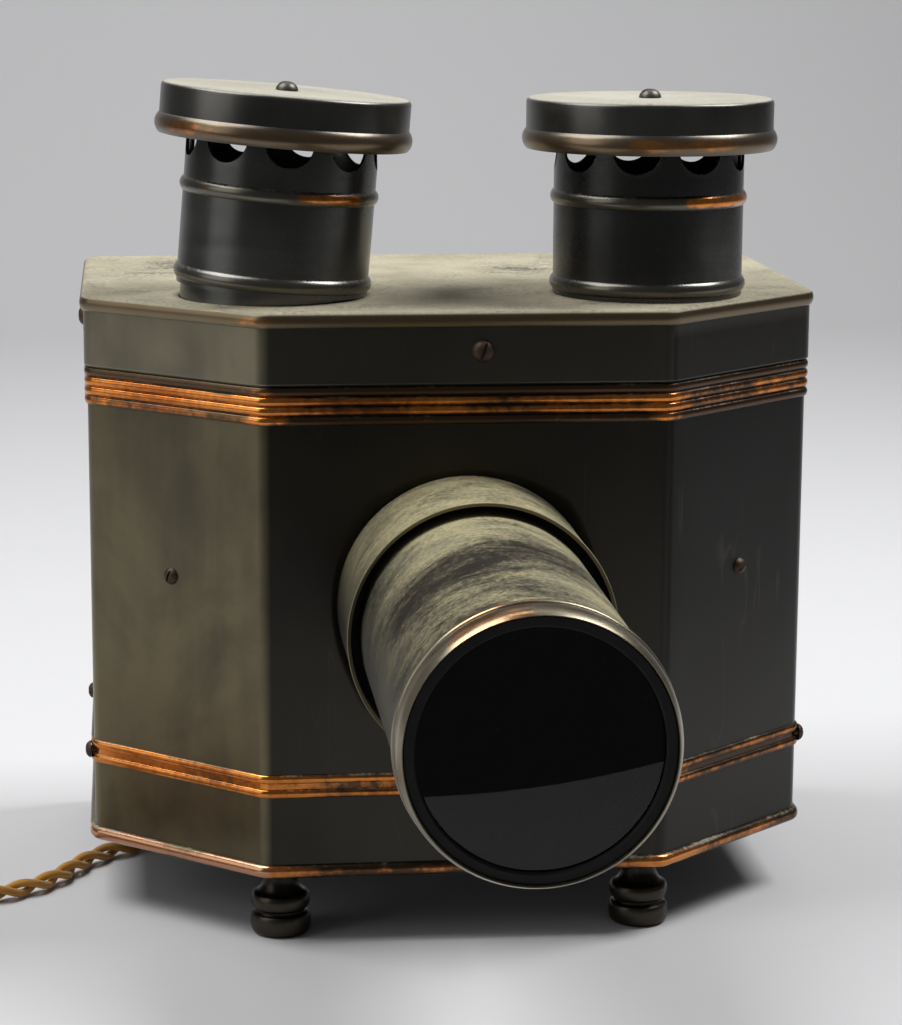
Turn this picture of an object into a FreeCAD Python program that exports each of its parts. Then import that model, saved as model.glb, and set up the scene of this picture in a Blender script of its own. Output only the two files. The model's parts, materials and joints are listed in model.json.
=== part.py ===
import FreeCAD, Part
import Sketcher
import math
import os

# Postcard lantern: millimetres, +Z up from the floor, lens towards -Y, front face of the body at y = 0.
# Driving dimensions, one row of the sheet each.
SIZES = {
    "half_width": 130.0,         # body, middle to side wall
    "front_half": 70.5,          # half width of the flat front
    "diagonal_depth": 53.0,      # how far back the front diagonals reach
    "body_depth": 180.0,         # front face to back wall
    "corner_radius": 7.0,        # upright edges of the body
    "wall": 1.0,                 # sheet metal
    "seam": 0.05,                # gap between sheets that are pushed together
    "shell_bottom": 24.0,        # underside of the rolled bottom edge
    "lid_top": 223.5,
    "lid_plate": 1.2,
    "skirt_bottom": 198.6,       # lower edge of the lid's skirt
    "rim_half": 2.6,             # lid rim bead, half height
    "rim_rise": 1.3,
    "roll_half": 2.4,            # rolled bottom edge, half height
    "roll_rise": 2.0,
    "ridge_half": 1.6,           # swaged ridges of both bands
    "ridge_rise": 1.1,
    "lower_band": 54.6,          # lowest ridge of the lower band
    "lower_pitch": 5.2,
    "upper_band": 186.2,         # lowest ridge of the upper band
    "upper_pitch": 3.4,
    "pan_lift": 0.6,             # base pan above the rolled edge
    "pan_plate": 1.2,
    "pan_flange": 36.0,          # upturned flange of the base pan
    "vent_radius": 4.0,          # air holes of the base pan
    "vent_circle": 27.0,
    "lens_height": 121.5,
    "collar_radius": 45.0,
    "collar_length": 50.0,
    "collar_flange": 5.0,
    "sleeve_front": 38.0,        # guide sleeve inside the collar, from the front face
    "sleeve_back": 4.0,
    "tube_radius": 40.6,
    "tube_wall": 0.9,
    "tube_reach": 190.0,         # front face to the front of the lens tube
    "tube_tail": 8.0,            # tube behind the front face
    "slide_gap": 0.06,           # lens tube in its sleeve
    "bezel_length": 12.5,
    "bezel_radius": 41.6,
    "bezel_lip": 1.2,
    "bezel_bead": 2.6,
    "bezel_bead_rise": 0.7,
    "edge_break": 0.8,           # softened edges of the bezel and caps
    "glass_gap": 0.1,            # lens edges in the tube
    "glass_inset": 5.2,          # front of the tube to the edge of the front glass
    "ring_width": 3.2,
    "ring_thick": 4.0,
    "glass_edge": 5.0,
    "front_bulge": 4.8,
    "rear_bulge": 5.0,
    "rear_ring_inset": 2.0,
    "shoulder": 0.2,             # flat edge round the lens faces
    "spacer_wall": 1.1,
    "chimney_radius": 33.8,
    "chimney_wall": 1.0,
    "chimney_height": 54.0,
    "chimney_setback": 50.0,     # chimney axes behind the front face
    "right_chimney_inset": 60.0,  # chimney axes from the side walls
    "left_chimney_inset": 65.5,
    "left_lean": 4.8,            # degrees, the left chimney sits askew
    "spigot_radius": 32.2,
    "spigot_length": 9.0,
    "spigot_gap": 0.8,
    "bead_half": 2.5,            # beads round the chimneys
    "bead_rise": 1.0,
    "base_bead": 4.0,
    "mid_bead": 34.5,
    "scallop_count": 9,
    "scallop_radius": 8.6,
    "scallop_height": 53.0,
    "cap_radius": 43.9,
    "cap_wall": 1.2,
    "cap_bottom": 51.5,
    "cap_top": 69.3,
    "cap_roll": 7.0,
    "cap_roll_rise": 1.0,
    "bridge_width": 12.0,
    "bridge_sheet": 1.2,
    "bridge_leg": 30.0,
    "screw_head": 4.0,           # lid, cap and base screws
    "screw_dome": 2.4,
    "screw_shank": 1.5,
    "screw_length": 7.0,
    "screw_slot": 0.9,
    "hole_gap": 0.1,
    "lid_screw_height": 209.8,
    "lid_screw_front_x": 5.0,
    "lid_screw_side_y": 105.0,
    "base_screw_height": 57.2,
    "base_screw_front_y": 55.0,
    "base_screw_back_y": 140.0,
    "lamp_inset": 50.0,          # lamp axes from the side walls
    "lamp_setback": 52.0,
    "reflector_sheet": 0.8,
    "reflector_low": 72.0,
    "reflector_tall": 104.0,
    "reflector_spread": 130.0,   # degrees
    "reflector_gap": 0.15,
    "reflector_screw_height": 127.0,
    "socket_base": 20.0,
    "socket_flange": 5.0,
    "socket_neck": 8.0,
    "socket_floor": 14.0,        # bottom of the bore
    "contact_radius": 4.0,
    "socket_radius": 15.0,
    "socket_tall": 40.0,
    "socket_bore": 13.4,
    "bulb_cap_radius": 13.2,
    "bulb_cap_tall": 27.0,
    "bulb_radius": 24.0,
    "bulb_neck": 12.0,
    "bulb_collar": 6.0,
    "bulb_tall": 73.0,
    "window_half": 73.0,
    "window_tall": 96.0,
    "door_half": 80.0,
    "door_tall": 108.0,
    "door_sheet": 1.4,
    "door_gap": 0.4,
    "rail_inset": 2.5,
    "rail_depth": 4.4,
    "rail_tall": 3.0,
    "rail_sheet": 0.9,
    "card_tall": 89.0,
    "hinge_x": 84.0,
    "hinge_tall": 84.0,
    "hinge_leaf": 1.0,
    "hinge_reach": 14.0,
    "knuckle_radius": 2.4,
    "knuckle_count": 5,
    "knuckle_gap": 0.3,
    "knuckle_step": 0.6,         # barrel to the flat of the leaf
    "pin_radius": 1.2,
    "pin_gap": 0.05,
    "rivet_radius": 2.0,
    "rivet_dome": 0.9,
    "knob_radius": 5.5,
    "knob_length": 8.2,
    "knob_neck": 3.0,
    "knob_dome": 1.6,
    "knob_inset": 10.0,
    "catch_tall": 20.0,
    "catch_gap": 0.5,
    "catch_depth": 5.0,
    "catch_reach": 13.0,
    "catch_rivet": 8.0,          # rivets from the tongue
    "catch_rivet_rise": 5.0,
    "foot_inset": 65.5,          # feet from the side walls
    "foot_front": 14.0,
    "foot_back_inset": 16.0,     # rear feet from the back wall
    "foot_radius": 9.6,
    "foot_neck": 6.2,
    "foot_bore": 2.1,
    "foot_bore_deep": 13.0,
    "foot_drum": 7.4,            # heights of the turned steps
    "foot_groove": 9.0,
    "foot_ring": 14.6,
    "foot_waist": 18.2,
    "foot_collar": 1.4,
    "foot_screw_length": 11.0,
    "bushing_x": -86.0,
    "bushing_y": 117.0,
    "bushing_hole": 6.0,
    "bushing_flange": 9.0,
    "cord_diameter": 6.5,
    "cord_bore_gap": 0.5,
    "bushing_mouth": 1.5,        # the bore widens where the flex bends away
    "bushing_below": 4.0,
    "bushing_above": 3.0,
    "bushing_break": 1.2,
    "lead_diameter": 3.0,
    "coil_outer": 47.0,          # first half turn of the coil
    "coil_pitch": 7.0,
    "coil_lift": 1.3,
    "tie_sheet": 0.9,
    "tie_gap": 1.5,              # tape beside the turns
    "tie_width": 8.0,
    "plug_radius": 17.5,
    "plug_neck": 8.0,
    "plug_shoulder": 14.0,
    "plug_drum": 22.0,
    "plug_length": 34.0,
    "plug_pin_radius": 2.4,
    "plug_pin_length": 18.0,
    "plug_pin_spacing": 19.0,
}
COIL_IN = 7                      # half turns of the lower layer
COIL_OUT = 6                     # half turns of the upper layer
BEAD_STEPS = 6                   # facets across a rolled bead
UPPER_RIDGES = 4
LOWER_RIDGES = 2

doc = FreeCAD.newDocument("postcard_lantern")
nodes = {}


class Size:
    # A length that carries its number and the sheet expression that gives it.
    def __init__(self, value, text):
        self.value = float(value)
        self.text = text

    def __float__(self):
        return self.value

    def __add__(self, other):
        return joined(self, "+", other, self.value + float(other))

    def __radd__(self, other):
        return joined(other, "+", self, float(other) + self.value)

    def __sub__(self, other):
        return joined(self, "-", other, self.value - float(other))

    def __rsub__(self, other):
        return joined(other, "-", self, float(other) - self.value)

    def __mul__(self, other):
        return joined(self, "*", other, self.value * float(other))

    def __rmul__(self, other):
        return joined(other, "*", self, float(other) * self.value)

    def __truediv__(self, other):
        return joined(self, "/", other, self.value / float(other))

    def __neg__(self):
        return Size(-self.value, "(0-" + self.text + ")")


def text_of(amount):
    if isinstance(amount, Size):
        return amount.text
    return "(" + repr(float(amount)) + ")"


def joined(left, sign, right, value):
    return Size(value, "(" + text_of(left) + sign + text_of(right) + ")")


class Sizes:
    pass


def make_sheet():
    sheet = doc.addObject("Spreadsheet::Sheet", "sizes")
    named = Sizes()
    for row, (name, value) in enumerate(SIZES.items(), 1):
        sheet.set("A%d" % row, name)
        sheet.set("B%d" % row, str(value))
        sheet.setAlias("B%d" % row, name)
        setattr(named, name, Size(value, "sizes." + name))
    doc.recompute()
    return named


s = make_sheet()
right_chimney_x = s.half_width - s.right_chimney_inset
left_chimney_x = s.left_chimney_inset - s.half_width
lamp_x = s.half_width - s.lamp_inset
foot_x = s.half_width - s.foot_inset
foot_back = s.body_depth - s.foot_back_inset


def bind(target, prop, amount):
    if isinstance(amount, Size):
        target.setExpression(prop, amount.text)


def place(target, base, turn=None):
    rotation = turn or FreeCAD.Rotation()
    target.Placement = FreeCAD.Placement(FreeCAD.Vector(*[float(v) for v in base]), rotation)
    for axis, amount in zip("xyz", base):
        bind(target, "Placement.Base." + axis, amount)


def about(axis, degrees):
    return FreeCAD.Rotation(FreeCAD.Vector(*axis), degrees)


FORWARD = about((1, 0, 0), 90)      # local +Z looks out of the lens
BACKWARD = about((1, 0, 0), -90)    # local +Z looks out of the back
LEFTWARD = about((0, 1, 0), -90)    # local +Z looks to the left
RIGHTWARD = about((0, 1, 0), 90)


def keep(label, item):
    item.Label = label
    nodes[label] = item
    return item


def origin_item(body, role):
    return [f for f in body.Origin.OriginFeatures if f.Role == role][0]


def arc_middle(start, end, bulge):
    across = end - start
    side = FreeCAD.Vector(across.y, -across.x, 0).normalize()
    return (start + end) * 0.5 + side * bulge


def pin_point(sketch, line, point, amounts):
    # Holds one corner of a sketch at sizes from the sheet.
    for kind, axis, amount in (("DistanceX", -2, amounts[0]), ("DistanceY", -1, amounts[1])):
        if abs(float(amount)) < 1e-9:
            sketch.addConstraint(Sketcher.Constraint("PointOnObject", line, point, axis))
            continue
        number = sketch.addConstraint(Sketcher.Constraint(kind, -1, 1, line, point, float(amount)))
        bind(sketch, "Constraints[%d]" % number, amount)


def sketch_on(body, role, outline):
    # A closed outline of (x, y) corners; a third entry bulges the edge that leads to the corner.
    sketch = body.newObject("Sketcher::SketchObject", body.Name + "_outline")
    sketch.AttachmentSupport = [(origin_item(body, role), "")]
    sketch.MapMode = "FlatFace"
    corners = [FreeCAD.Vector(float(c[0]), float(c[1]), 0) for c in outline]
    for i, corner in enumerate(outline):
        start, end = corners[i - 1], corners[i]
        if len(corner) == 3:
            rise = corner[2]
            middle = arc_middle(start, end, float(rise))
            sketch.addGeometry(Part.Arc(start, middle, end), False)
        else:
            sketch.addGeometry(Part.LineSegment(start, end), False)
    ends = []
    for i, corner in enumerate(outline):
        geometry = sketch.Geometry[i]
        forwards = (geometry.EndPoint - corners[i]).Length < 1e-6
        ends.append((1, 2) if forwards else (2, 1))
    for i in range(len(outline)):
        after = (i + 1) % len(outline)
        sketch.addConstraint(Sketcher.Constraint("Coincident", i, ends[i][1], after, ends[after][0]))
    for i, corner in enumerate(outline):
        pin_point(sketch, i, ends[i][1], corner)
    for i, corner in enumerate(outline):
        if len(corner) == 3:
            number = sketch.addConstraint(Sketcher.Constraint("Radius", i, sketch.Geometry[i].Radius))
            bind(sketch, "Constraints[%d]" % number, bulge_radius(outline[i - 1], corner))
    return sketch


def bulge_radius(before, corner):
    run = corner[0] - before[0]
    climb = corner[1] - before[1]
    rise = corner[2]
    return (run * run + climb * climb) / 8 / rise + rise / 2


def turned(label, outline, base, turn=None):
    # A revolved piece; the outline's x is its radius and y its height.
    body = doc.addObject("PartDesign::Body", label)
    sketch = sketch_on(body, "XZ_Plane", outline)
    spin = body.newObject("PartDesign::Revolution", label + "_spin")
    spin.Profile = sketch
    spin.ReferenceAxis = (sketch, ["V_Axis"])
    spin.Angle = 360
    sketch.Visibility = False
    place(body, base, turn)
    return keep(label, body)


def strip(label, outline, width, base, turn=None):
    # A strip bent to an outline in X and Z, with its width along Y.
    body = doc.addObject("PartDesign::Body", label)
    sketch = sketch_on(body, "XZ_Plane", outline)
    pad = body.newObject("PartDesign::Pad", label + "_pad")
    pad.Profile = sketch
    pad.Midplane = True
    bind(pad, "Length", width)
    place(body, base, turn)
    return keep(label, body)


def block(name, corner, opposite):
    low = [min(pair, key=float) for pair in zip(corner, opposite)]
    high = [max(pair, key=float) for pair in zip(corner, opposite)]
    box = doc.addObject("Part::Box", name)
    for prop, near, far in zip(("Length", "Width", "Height"), low, high):
        bind(box, prop, sized(far) - near)
    place(box, low)
    return box


def sized(amount):
    if isinstance(amount, Size):
        return amount
    return Size(amount, text_of(amount))


def rod(name, radius, height, base, turn=None, angle=360):
    cylinder = doc.addObject("Part::Cylinder", name)
    bind(cylinder, "Radius", sized(radius))
    bind(cylinder, "Height", sized(height))
    bind(cylinder, "Angle", sized(angle))
    place(cylinder, base, turn)
    return cylinder


def minus(name, base, *tools):
    result = doc.addObject("Part::Cut", name)
    result.Base = base
    result.Tool = tools[0] if len(tools) == 1 else plus(name + "_tools", *tools)
    return result


def plus(name, *items):
    result = doc.addObject("Part::MultiFuse", name)
    result.Shapes = list(items)
    return result


def shaped(label, shape):
    feature = doc.addObject("Part::Feature", label)
    feature.Shape = shape
    return feature


def vec(x, y, z=0):
    return FreeCAD.Vector(float(x), float(y), float(z))


def plan(grow, height):
    # The body's outline seen from above, grown by a sheet or a bead, with rounded corners.
    grow = float(grow)
    side = float(s.half_width)
    front = float(s.front_half)
    deep = float(s.diagonal_depth)
    slant = math.hypot(side - front, deep)
    nose = front + grow * (slant - (side - front)) / deep
    cheek = deep + grow * (deep - slant) / (side - front)
    back = float(s.body_depth) + grow
    corners = [(-nose, -grow), (nose, -grow), (side + grow, cheek)]
    corners += [(side + grow, back), (-side - grow, back), (-side - grow, cheek)]
    return rounded([vec(x, y, height) for x, y in corners], float(s.corner_radius) + grow)


def rounded(corners, radius):
    edges = []
    starts = []
    for i, corner in enumerate(corners):
        before = (corners[i - 1] - corner).normalize()
        after = (corners[(i + 1) % len(corners)] - corner).normalize()
        half = before.getAngle(after) / 2
        reach = radius / math.tan(half)
        inward = (before + after).normalize()
        middle = corner + inward * (radius / math.sin(half) - radius)
        starts.append((corner + before * reach, middle, corner + after * reach))
    for i, (first, middle, last) in enumerate(starts):
        edges.append(Part.Arc(first, middle, last).toShape())
        edges.append(Part.LineSegment(last, starts[(i + 1) % len(starts)][0]).toShape())
    return Part.Wire(edges)


def bead(height, half, rise, base=0.0):
    # Outline steps of a rolled bead: how far it stands out, and its height.
    half = float(half)
    rise = float(rise)
    steps = []
    for i in range(BEAD_STEPS + 1):
        turn = math.pi * i / BEAD_STEPS
        steps.append((float(base) + rise * math.sin(turn), float(height) - half * math.cos(turn)))
    return steps


def hull(steps):
    return Part.makeLoft([plan(grow, height) for grow, height in steps], True, True)


def plan_block(grow, low, high):
    return Part.Face(plan(grow, low)).extrude(vec(0, 0, float(high) - float(low)))


def diagonal_turn(side):
    # Turn that points local +Z outwards from a front diagonal.
    across = vec(side * s.diagonal_depth, s.front_half - s.half_width)
    return FreeCAD.Rotation(vec(0, 0, 1), across)


def diagonal_point(side, height, out=0.0):
    # A point on a front diagonal beside the lamp's axis.
    run = vec(s.half_width - s.front_half, s.diagonal_depth).normalize()
    lamp = vec(lamp_x - s.front_half, s.lamp_setback)
    along = run * lamp.dot(run)
    normal = vec(run.y, -run.x)
    point = vec(s.front_half, 0) + along + normal * float(out)
    return vec(side * point.x, point.y, height)


def screw(head, dome, shank, length, spot, turn, slot_turn=0.0):
    # Slotted round-head screw, with its head's flat underside at the spot.
    head, dome, shank, length = [float(v) for v in (head, dome, shank, length)]
    start = vec(head, 0)
    shoulder = vec(head * 0.72, 0, dome * 0.72)
    outline = [Part.Arc(vec(head, 0), shoulder, vec(0, 0, dome)).toShape()]
    corners = [vec(0, 0, dome), vec(0, 0, -length), vec(shank, 0, -length), vec(shank, 0), start]
    outline += [Part.LineSegment(a, b).toShape() for a, b in zip(corners, corners[1:])]
    solid = Part.Face(Part.Wire(outline)).revolve(vec(0, 0), vec(0, 0, 1), 360)
    slot_half = float(s.screw_slot) / 2
    slot = Part.makeBox(3 * head, 2 * slot_half, dome, vec(-1.5 * head, -slot_half, dome * 0.62))
    solid = solid.cut(slot)
    solid.Placement = FreeCAD.Placement(spot, turn * about((0, 0, 1), slot_turn))
    return solid


def hole(spot, turn, radius, reach=8.0):
    tool = Part.makeCylinder(float(radius), 2 * reach, vec(0, 0, -reach))
    tool.Placement = FreeCAD.Placement(spot, turn)
    return tool


def rivet(spot, turn):
    radius = float(s.rivet_radius)
    dome = float(s.rivet_dome)
    ball = (radius * radius + dome * dome) / (2 * dome)
    cap = Part.makeSphere(ball, vec(0, 0, dome - ball))
    cap = cap.common(Part.makeCylinder(ball, dome))
    cap.Placement = FreeCAD.Placement(spot, turn)
    return cap


shank_hole = s.screw_shank + s.hole_gap
skirt_out = s.wall + s.seam
lid_under = s.lid_top - s.lid_plate


def lid_screw_spots():
    side = float(s.half_width + skirt_out)
    height = float(s.lid_screw_height)
    back = float(s.body_depth + skirt_out)
    return [
        (vec(s.lid_screw_front_x, -skirt_out, height), FORWARD),
        (vec(-side, s.lid_screw_side_y, height), LEFTWARD),
        (vec(side, s.lid_screw_side_y, height), RIGHTWARD),
        (vec(0, back, height), BACKWARD),
    ]


def base_screw_spots():
    # The heads bear on the ridges of the lower band.
    side = s.half_width + s.ridge_rise
    spots = []
    for y in (s.base_screw_front_y, s.base_screw_back_y):
        spots.append((vec(-side, y, s.base_screw_height), LEFTWARD))
        spots.append((vec(side, y, s.base_screw_height), RIGHTWARD))
    return spots


def reflector_screw_spots():
    spots = []
    for side in (-1, 1):
        spot = diagonal_point(side, s.reflector_screw_height)
        spots.append((spot, diagonal_turn(side)))
    return spots


def make_shell():
    steps = bead(s.shell_bottom + s.roll_half, s.roll_half, s.roll_rise)
    for i in range(LOWER_RIDGES):
        steps += bead(s.lower_band + s.lower_pitch * i, s.ridge_half, s.ridge_rise)
    for i in range(UPPER_RIDGES):
        steps += bead(s.upper_band + s.upper_pitch * i, s.ridge_half, s.ridge_rise)
    steps.append((0.0, float(lid_under)))
    shell = hull(steps)
    shell = shell.cut(plan_block(-s.wall, s.shell_bottom - 1, lid_under + 1))
    port = hole(vec(0, 0, s.lens_height), FORWARD, s.collar_radius + s.hole_gap)
    window = Part.makeBox(2 * float(s.window_half), 20, float(s.window_tall))
    window.translate(vec(-s.window_half, s.body_depth - 10, s.lens_height - s.window_tall / 2))
    cuts = [port, window]
    spots = lid_screw_spots() + base_screw_spots() + reflector_screw_spots()
    cuts += [hole(spot, turn, shank_hole) for spot, turn in spots]
    return keep("body_shell", shaped("body_shell", shell.cut(cuts)))


def make_pan():
    floor = s.shell_bottom + s.pan_lift
    outer = -s.wall - s.seam
    pan = plan_block(outer, floor, floor + s.pan_flange)
    pan = pan.cut(plan_block(outer - s.wall, floor + s.pan_plate, floor + s.pan_flange + 1))
    cuts = [hole(spot, turn, shank_hole) for spot, turn in base_screw_spots()]
    for spot in foot_spots():
        cuts.append(hole(spot, about((0, 0, 1), 0), shank_hole))
    cuts.append(hole(vec(s.bushing_x, s.bushing_y, floor), about((0, 0, 1), 0), s.bushing_hole))
    for side in (-1, 1):
        for i in range(6):
            turn = math.radians(60 * i + 30)
            x = side * float(lamp_x) + float(s.vent_circle) * math.cos(turn)
            y = float(s.lamp_setback) + float(s.vent_circle) * math.sin(turn)
            cuts.append(hole(vec(x, y, floor), about((0, 0, 1), 0), s.vent_radius))
    return keep("base_pan", shaped("base_pan", pan.cut(cuts)))


def make_lid():
    steps = [(skirt_out, s.skirt_bottom)]
    steps += bead(s.lid_top - s.rim_half - 0.3, s.rim_half, s.rim_rise, skirt_out)
    steps.append((skirt_out - 0.6, s.lid_top))
    lid = hull(steps)
    lid = lid.cut(plan_block(s.seam, s.skirt_bottom - 1, lid_under))
    cuts = [hole(spot, turn, shank_hole) for spot, turn in lid_screw_spots()]
    up = about((0, 0, 1), 0)
    for x in (left_chimney_x, right_chimney_x):
        cuts.append(hole(vec(x, s.chimney_setback, s.lid_top), up, s.spigot_radius + s.spigot_gap))
    return keep("lid", shaped("lid", lid.cut(cuts)))


def screw_group(label, spots, scale=1.0, slot_turns=(0,)):
    solids = []
    for i, (spot, turn) in enumerate(spots):
        sizes = [s.screw_head * scale, s.screw_dome * scale, s.screw_shank, s.screw_length]
        solids.append(screw(*sizes, spot, turn, slot_turns[i % len(slot_turns)]))
    return keep(label, shaped(label, Part.makeCompound(solids)))


def make_lens():
    base = (0, 0, s.lens_height)
    collar_in = s.collar_radius - s.wall
    flange = s.collar_radius + s.collar_flange
    turned("lens_collar", [
        (collar_in, -s.wall * 2), (flange, -s.wall * 2), (flange, -s.wall), (s.collar_radius, -s.wall),
        (s.collar_radius, s.collar_length), (collar_in, s.collar_length)], base, FORWARD)
    guide = s.tube_radius + s.slide_gap
    turned("collar_sleeve", [
        (guide, s.sleeve_back), (collar_in - s.seam, s.sleeve_back),
        (collar_in - s.seam, s.sleeve_front), (guide, s.sleeve_front)], base, FORWARD)
    tube_in = s.tube_radius - s.tube_wall
    tube_front = s.tube_reach - s.bezel_lip
    turned("lens_tube", [
        (tube_in, -s.tube_tail), (s.tube_radius, -s.tube_tail),
        (s.tube_radius, tube_front), (tube_in, tube_front)], base, FORWARD)
    lip = s.tube_radius - s.tube_wall + s.shoulder
    bezel_back = s.tube_reach - s.bezel_length
    bezel_in = s.tube_radius + s.seam
    turned("lens_bezel", [
        (bezel_in, bezel_back), (s.bezel_radius, bezel_back),
        (s.bezel_radius, bezel_back + s.bezel_bead, s.bezel_bead_rise),
        (s.bezel_radius, s.tube_reach - s.edge_break), (s.bezel_radius - s.edge_break, s.tube_reach),
        (lip, s.tube_reach), (lip, tube_front), (bezel_in, tube_front)], base, FORWARD)
    edge = tube_in - s.glass_gap
    ring_in = edge - s.ring_width
    glass_front = s.tube_reach - s.glass_inset
    turned("front_ring", [
        (ring_in, glass_front), (edge, glass_front),
        (edge, glass_front + s.ring_thick), (ring_in, glass_front + s.ring_thick)], base, FORWARD)
    shoulder = ring_in - s.shoulder
    turned("front_lens", [
        (0, glass_front - s.glass_edge), (edge, glass_front - s.glass_edge), (edge, glass_front),
        (shoulder, glass_front),
        (0, glass_front + s.front_bulge, bulge(shoulder, s.front_bulge))], base, FORWARD)
    rear_seat = s.ring_thick - s.tube_tail + s.rear_ring_inset
    rear_face = rear_seat + s.glass_edge
    spacer_in = edge - s.spacer_wall
    turned("lens_spacer", [
        (spacer_in, rear_face), (edge, rear_face),
        (edge, glass_front - s.glass_edge), (spacer_in, glass_front - s.glass_edge)], base, FORWARD)
    rear_shoulder = spacer_in - s.shoulder
    turned("rear_lens", [
        (0, rear_seat), (edge, rear_seat), (edge, rear_face), (rear_shoulder, rear_face),
        (0, rear_face + s.rear_bulge, bulge(rear_shoulder, s.rear_bulge))], base, FORWARD)
    turned("rear_ring", [
        (ring_in, rear_seat - s.ring_thick), (edge, rear_seat - s.ring_thick),
        (edge, rear_seat), (ring_in, rear_seat)], base, FORWARD)


def bulge(reach, rise):
    # Middle height over the slanting chord of a lens face that swells by the rise at its middle.
    reach = float(reach)
    rise = float(rise)
    ball = (reach * reach + rise * rise) / (2 * rise)
    chord = math.hypot(reach, rise)
    return ball - math.sqrt(ball * ball - chord * chord / 4)


def make_chimney(side, x, lean, phase):
    # Chimney tube with its cap; local z = 0 is the face that sits on the lid.
    radius = s.chimney_radius
    inner = radius - s.chimney_wall
    spigot_in = s.spigot_radius - s.chimney_wall
    tilt = about((0, 1, 0), lean)
    lift = radius * math.sin(math.radians(lean)) + (s.seam if lean else 0)
    base = (x, s.chimney_setback, s.lid_top + lift)
    label = side + "_chimney"
    body = turned(label, [
        (spigot_in, -s.spigot_length), (s.spigot_radius, -s.spigot_length), (s.spigot_radius, 0),
        (radius, 0), (radius, s.base_bead - s.bead_half), (radius, s.base_bead + s.bead_half, s.bead_rise),
        (radius, s.mid_bead - s.bead_half), (radius, s.mid_bead + s.bead_half, s.bead_rise),
        (radius, s.chimney_height), (inner, s.chimney_height), (inner, s.chimney_wall),
        (spigot_in, s.chimney_wall)], base, tilt * about((0, 0, 1), phase))
    scallop(body)
    cap_bead_top = s.cap_bottom + s.cap_roll
    cap_in = s.cap_radius - s.cap_wall
    plate = s.cap_top - s.cap_wall
    turned(side + "_cap", [
        (cap_in, s.cap_bottom), (s.cap_radius, s.cap_bottom), (s.cap_radius, cap_bead_top, s.cap_roll_rise),
        (s.cap_radius, s.cap_top - s.edge_break), (s.cap_radius - s.edge_break, s.cap_top),
        (shank_hole, s.cap_top),
        (shank_hole, plate), (cap_in, plate)], base, tilt)
    leg_out = inner - 0.7
    leg_in = leg_out - s.bridge_sheet
    low = plate - s.bridge_leg
    under = plate - s.bridge_sheet
    bridge = strip(side + "_cap_bridge", [
        (-leg_out, low), (-leg_in, low), (-leg_in, under), (leg_in, under), (leg_in, low), (leg_out, low),
        (leg_out, plate), (-leg_out, plate)], s.bridge_width, base, tilt)
    drill(bridge)
    crown = FreeCAD.Placement(vec(*base), tilt).multVec(vec(0, 0, s.cap_top))
    sizes = (s.screw_head, s.screw_dome + 0.5, s.screw_shank, s.screw_length)
    keep(side + "_cap_screw", shaped(side + "_cap_screw", screw(*sizes, crown, tilt, 25)))


def scallop(body):
    # Half-round vents round the top edge of the tube.
    sketch = body.newObject("Sketcher::SketchObject", body.Name + "_scallop")
    sketch.AttachmentSupport = [(origin_item(body, "XZ_Plane"), "")]
    sketch.MapMode = "FlatFace"
    centre = vec(0, s.scallop_height)
    sketch.addGeometry(Part.Circle(centre, vec(0, 0, 1), float(s.scallop_radius)), False)
    pin_point(sketch, 0, 3, (0, s.scallop_height))
    number = sketch.addConstraint(Sketcher.Constraint("Radius", 0, float(s.scallop_radius)))
    bind(sketch, "Constraints[%d]" % number, s.scallop_radius)
    doc.recompute()
    before = body.Shape.Volume
    pocket = body.newObject("PartDesign::Pocket", body.Name + "_vent")
    pocket.Profile = sketch
    pocket.Type = 1
    pocket.Reversed = True
    doc.recompute()
    around = body.newObject("PartDesign::PolarPattern", body.Name + "_vents")
    around.Originals = [pocket]
    around.Axis = (origin_item(body, "Z_Axis"), [""])
    around.Angle = 360
    bind(around, "Occurrences", s.scallop_count)
    body.Tip = around
    doc.recompute()
    print(body.Name, "scallops remove", round(before - body.Shape.Volume, 1), "mm3")


def drill(body):
    # Hole for the cap screw through the bridge.
    sketch = body.newObject("Sketcher::SketchObject", body.Name + "_bore")
    sketch.AttachmentSupport = [(origin_item(body, "XY_Plane"), "")]
    sketch.MapMode = "FlatFace"
    sketch.addGeometry(Part.Circle(vec(0, 0), vec(0, 0, 1), float(shank_hole)), False)
    sketch.addConstraint(Sketcher.Constraint("Coincident", 0, 3, -1, 1))
    number = sketch.addConstraint(Sketcher.Constraint("Radius", 0, float(shank_hole)))
    bind(sketch, "Constraints[%d]" % number, shank_hole)
    pocket = body.newObject("PartDesign::Pocket", body.Name + "_hole")
    pocket.Profile = sketch
    pocket.Type = 1
    pocket.Reversed = True
    body.Tip = pocket


def make_lamps():
    pan_top = s.shell_bottom + s.pan_lift + s.pan_plate
    for name, side in (("left", -1), ("right", 1)):
        base = (lamp_x * side, s.lamp_setback, pan_top)
        bore_floor = s.socket_floor
        turned(name + "_lamp_socket", [
            (0, 0), (s.socket_base, 0), (s.socket_base, s.socket_flange), (s.socket_radius, s.socket_neck),
            (s.socket_radius, s.socket_tall), (s.socket_bore, s.socket_tall), (s.socket_bore, bore_floor),
            (0, bore_floor)], base)
        cap_top = s.bulb_cap_tall + bore_floor
        turned(name + "_bulb_cap", [
            (0, bore_floor), (s.contact_radius, bore_floor),
            (s.bulb_cap_radius, bore_floor + s.contact_radius),
            (s.bulb_cap_radius, cap_top), (0, cap_top)], base)
        crown = cap_top + s.bulb_tall
        cheek = s.bulb_radius * 0.92
        cheek_height = crown - s.bulb_radius * 1.392
        rise = bulb_rise(cheek, crown - cheek_height)
        turned(name + "_bulb", [
            (0, cap_top), (s.bulb_neck, cap_top), (s.bulb_neck + 0.5, cap_top + s.bulb_collar),
            (cheek, cheek_height), (0, crown, rise)], base)
        make_reflector(name, side)


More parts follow.
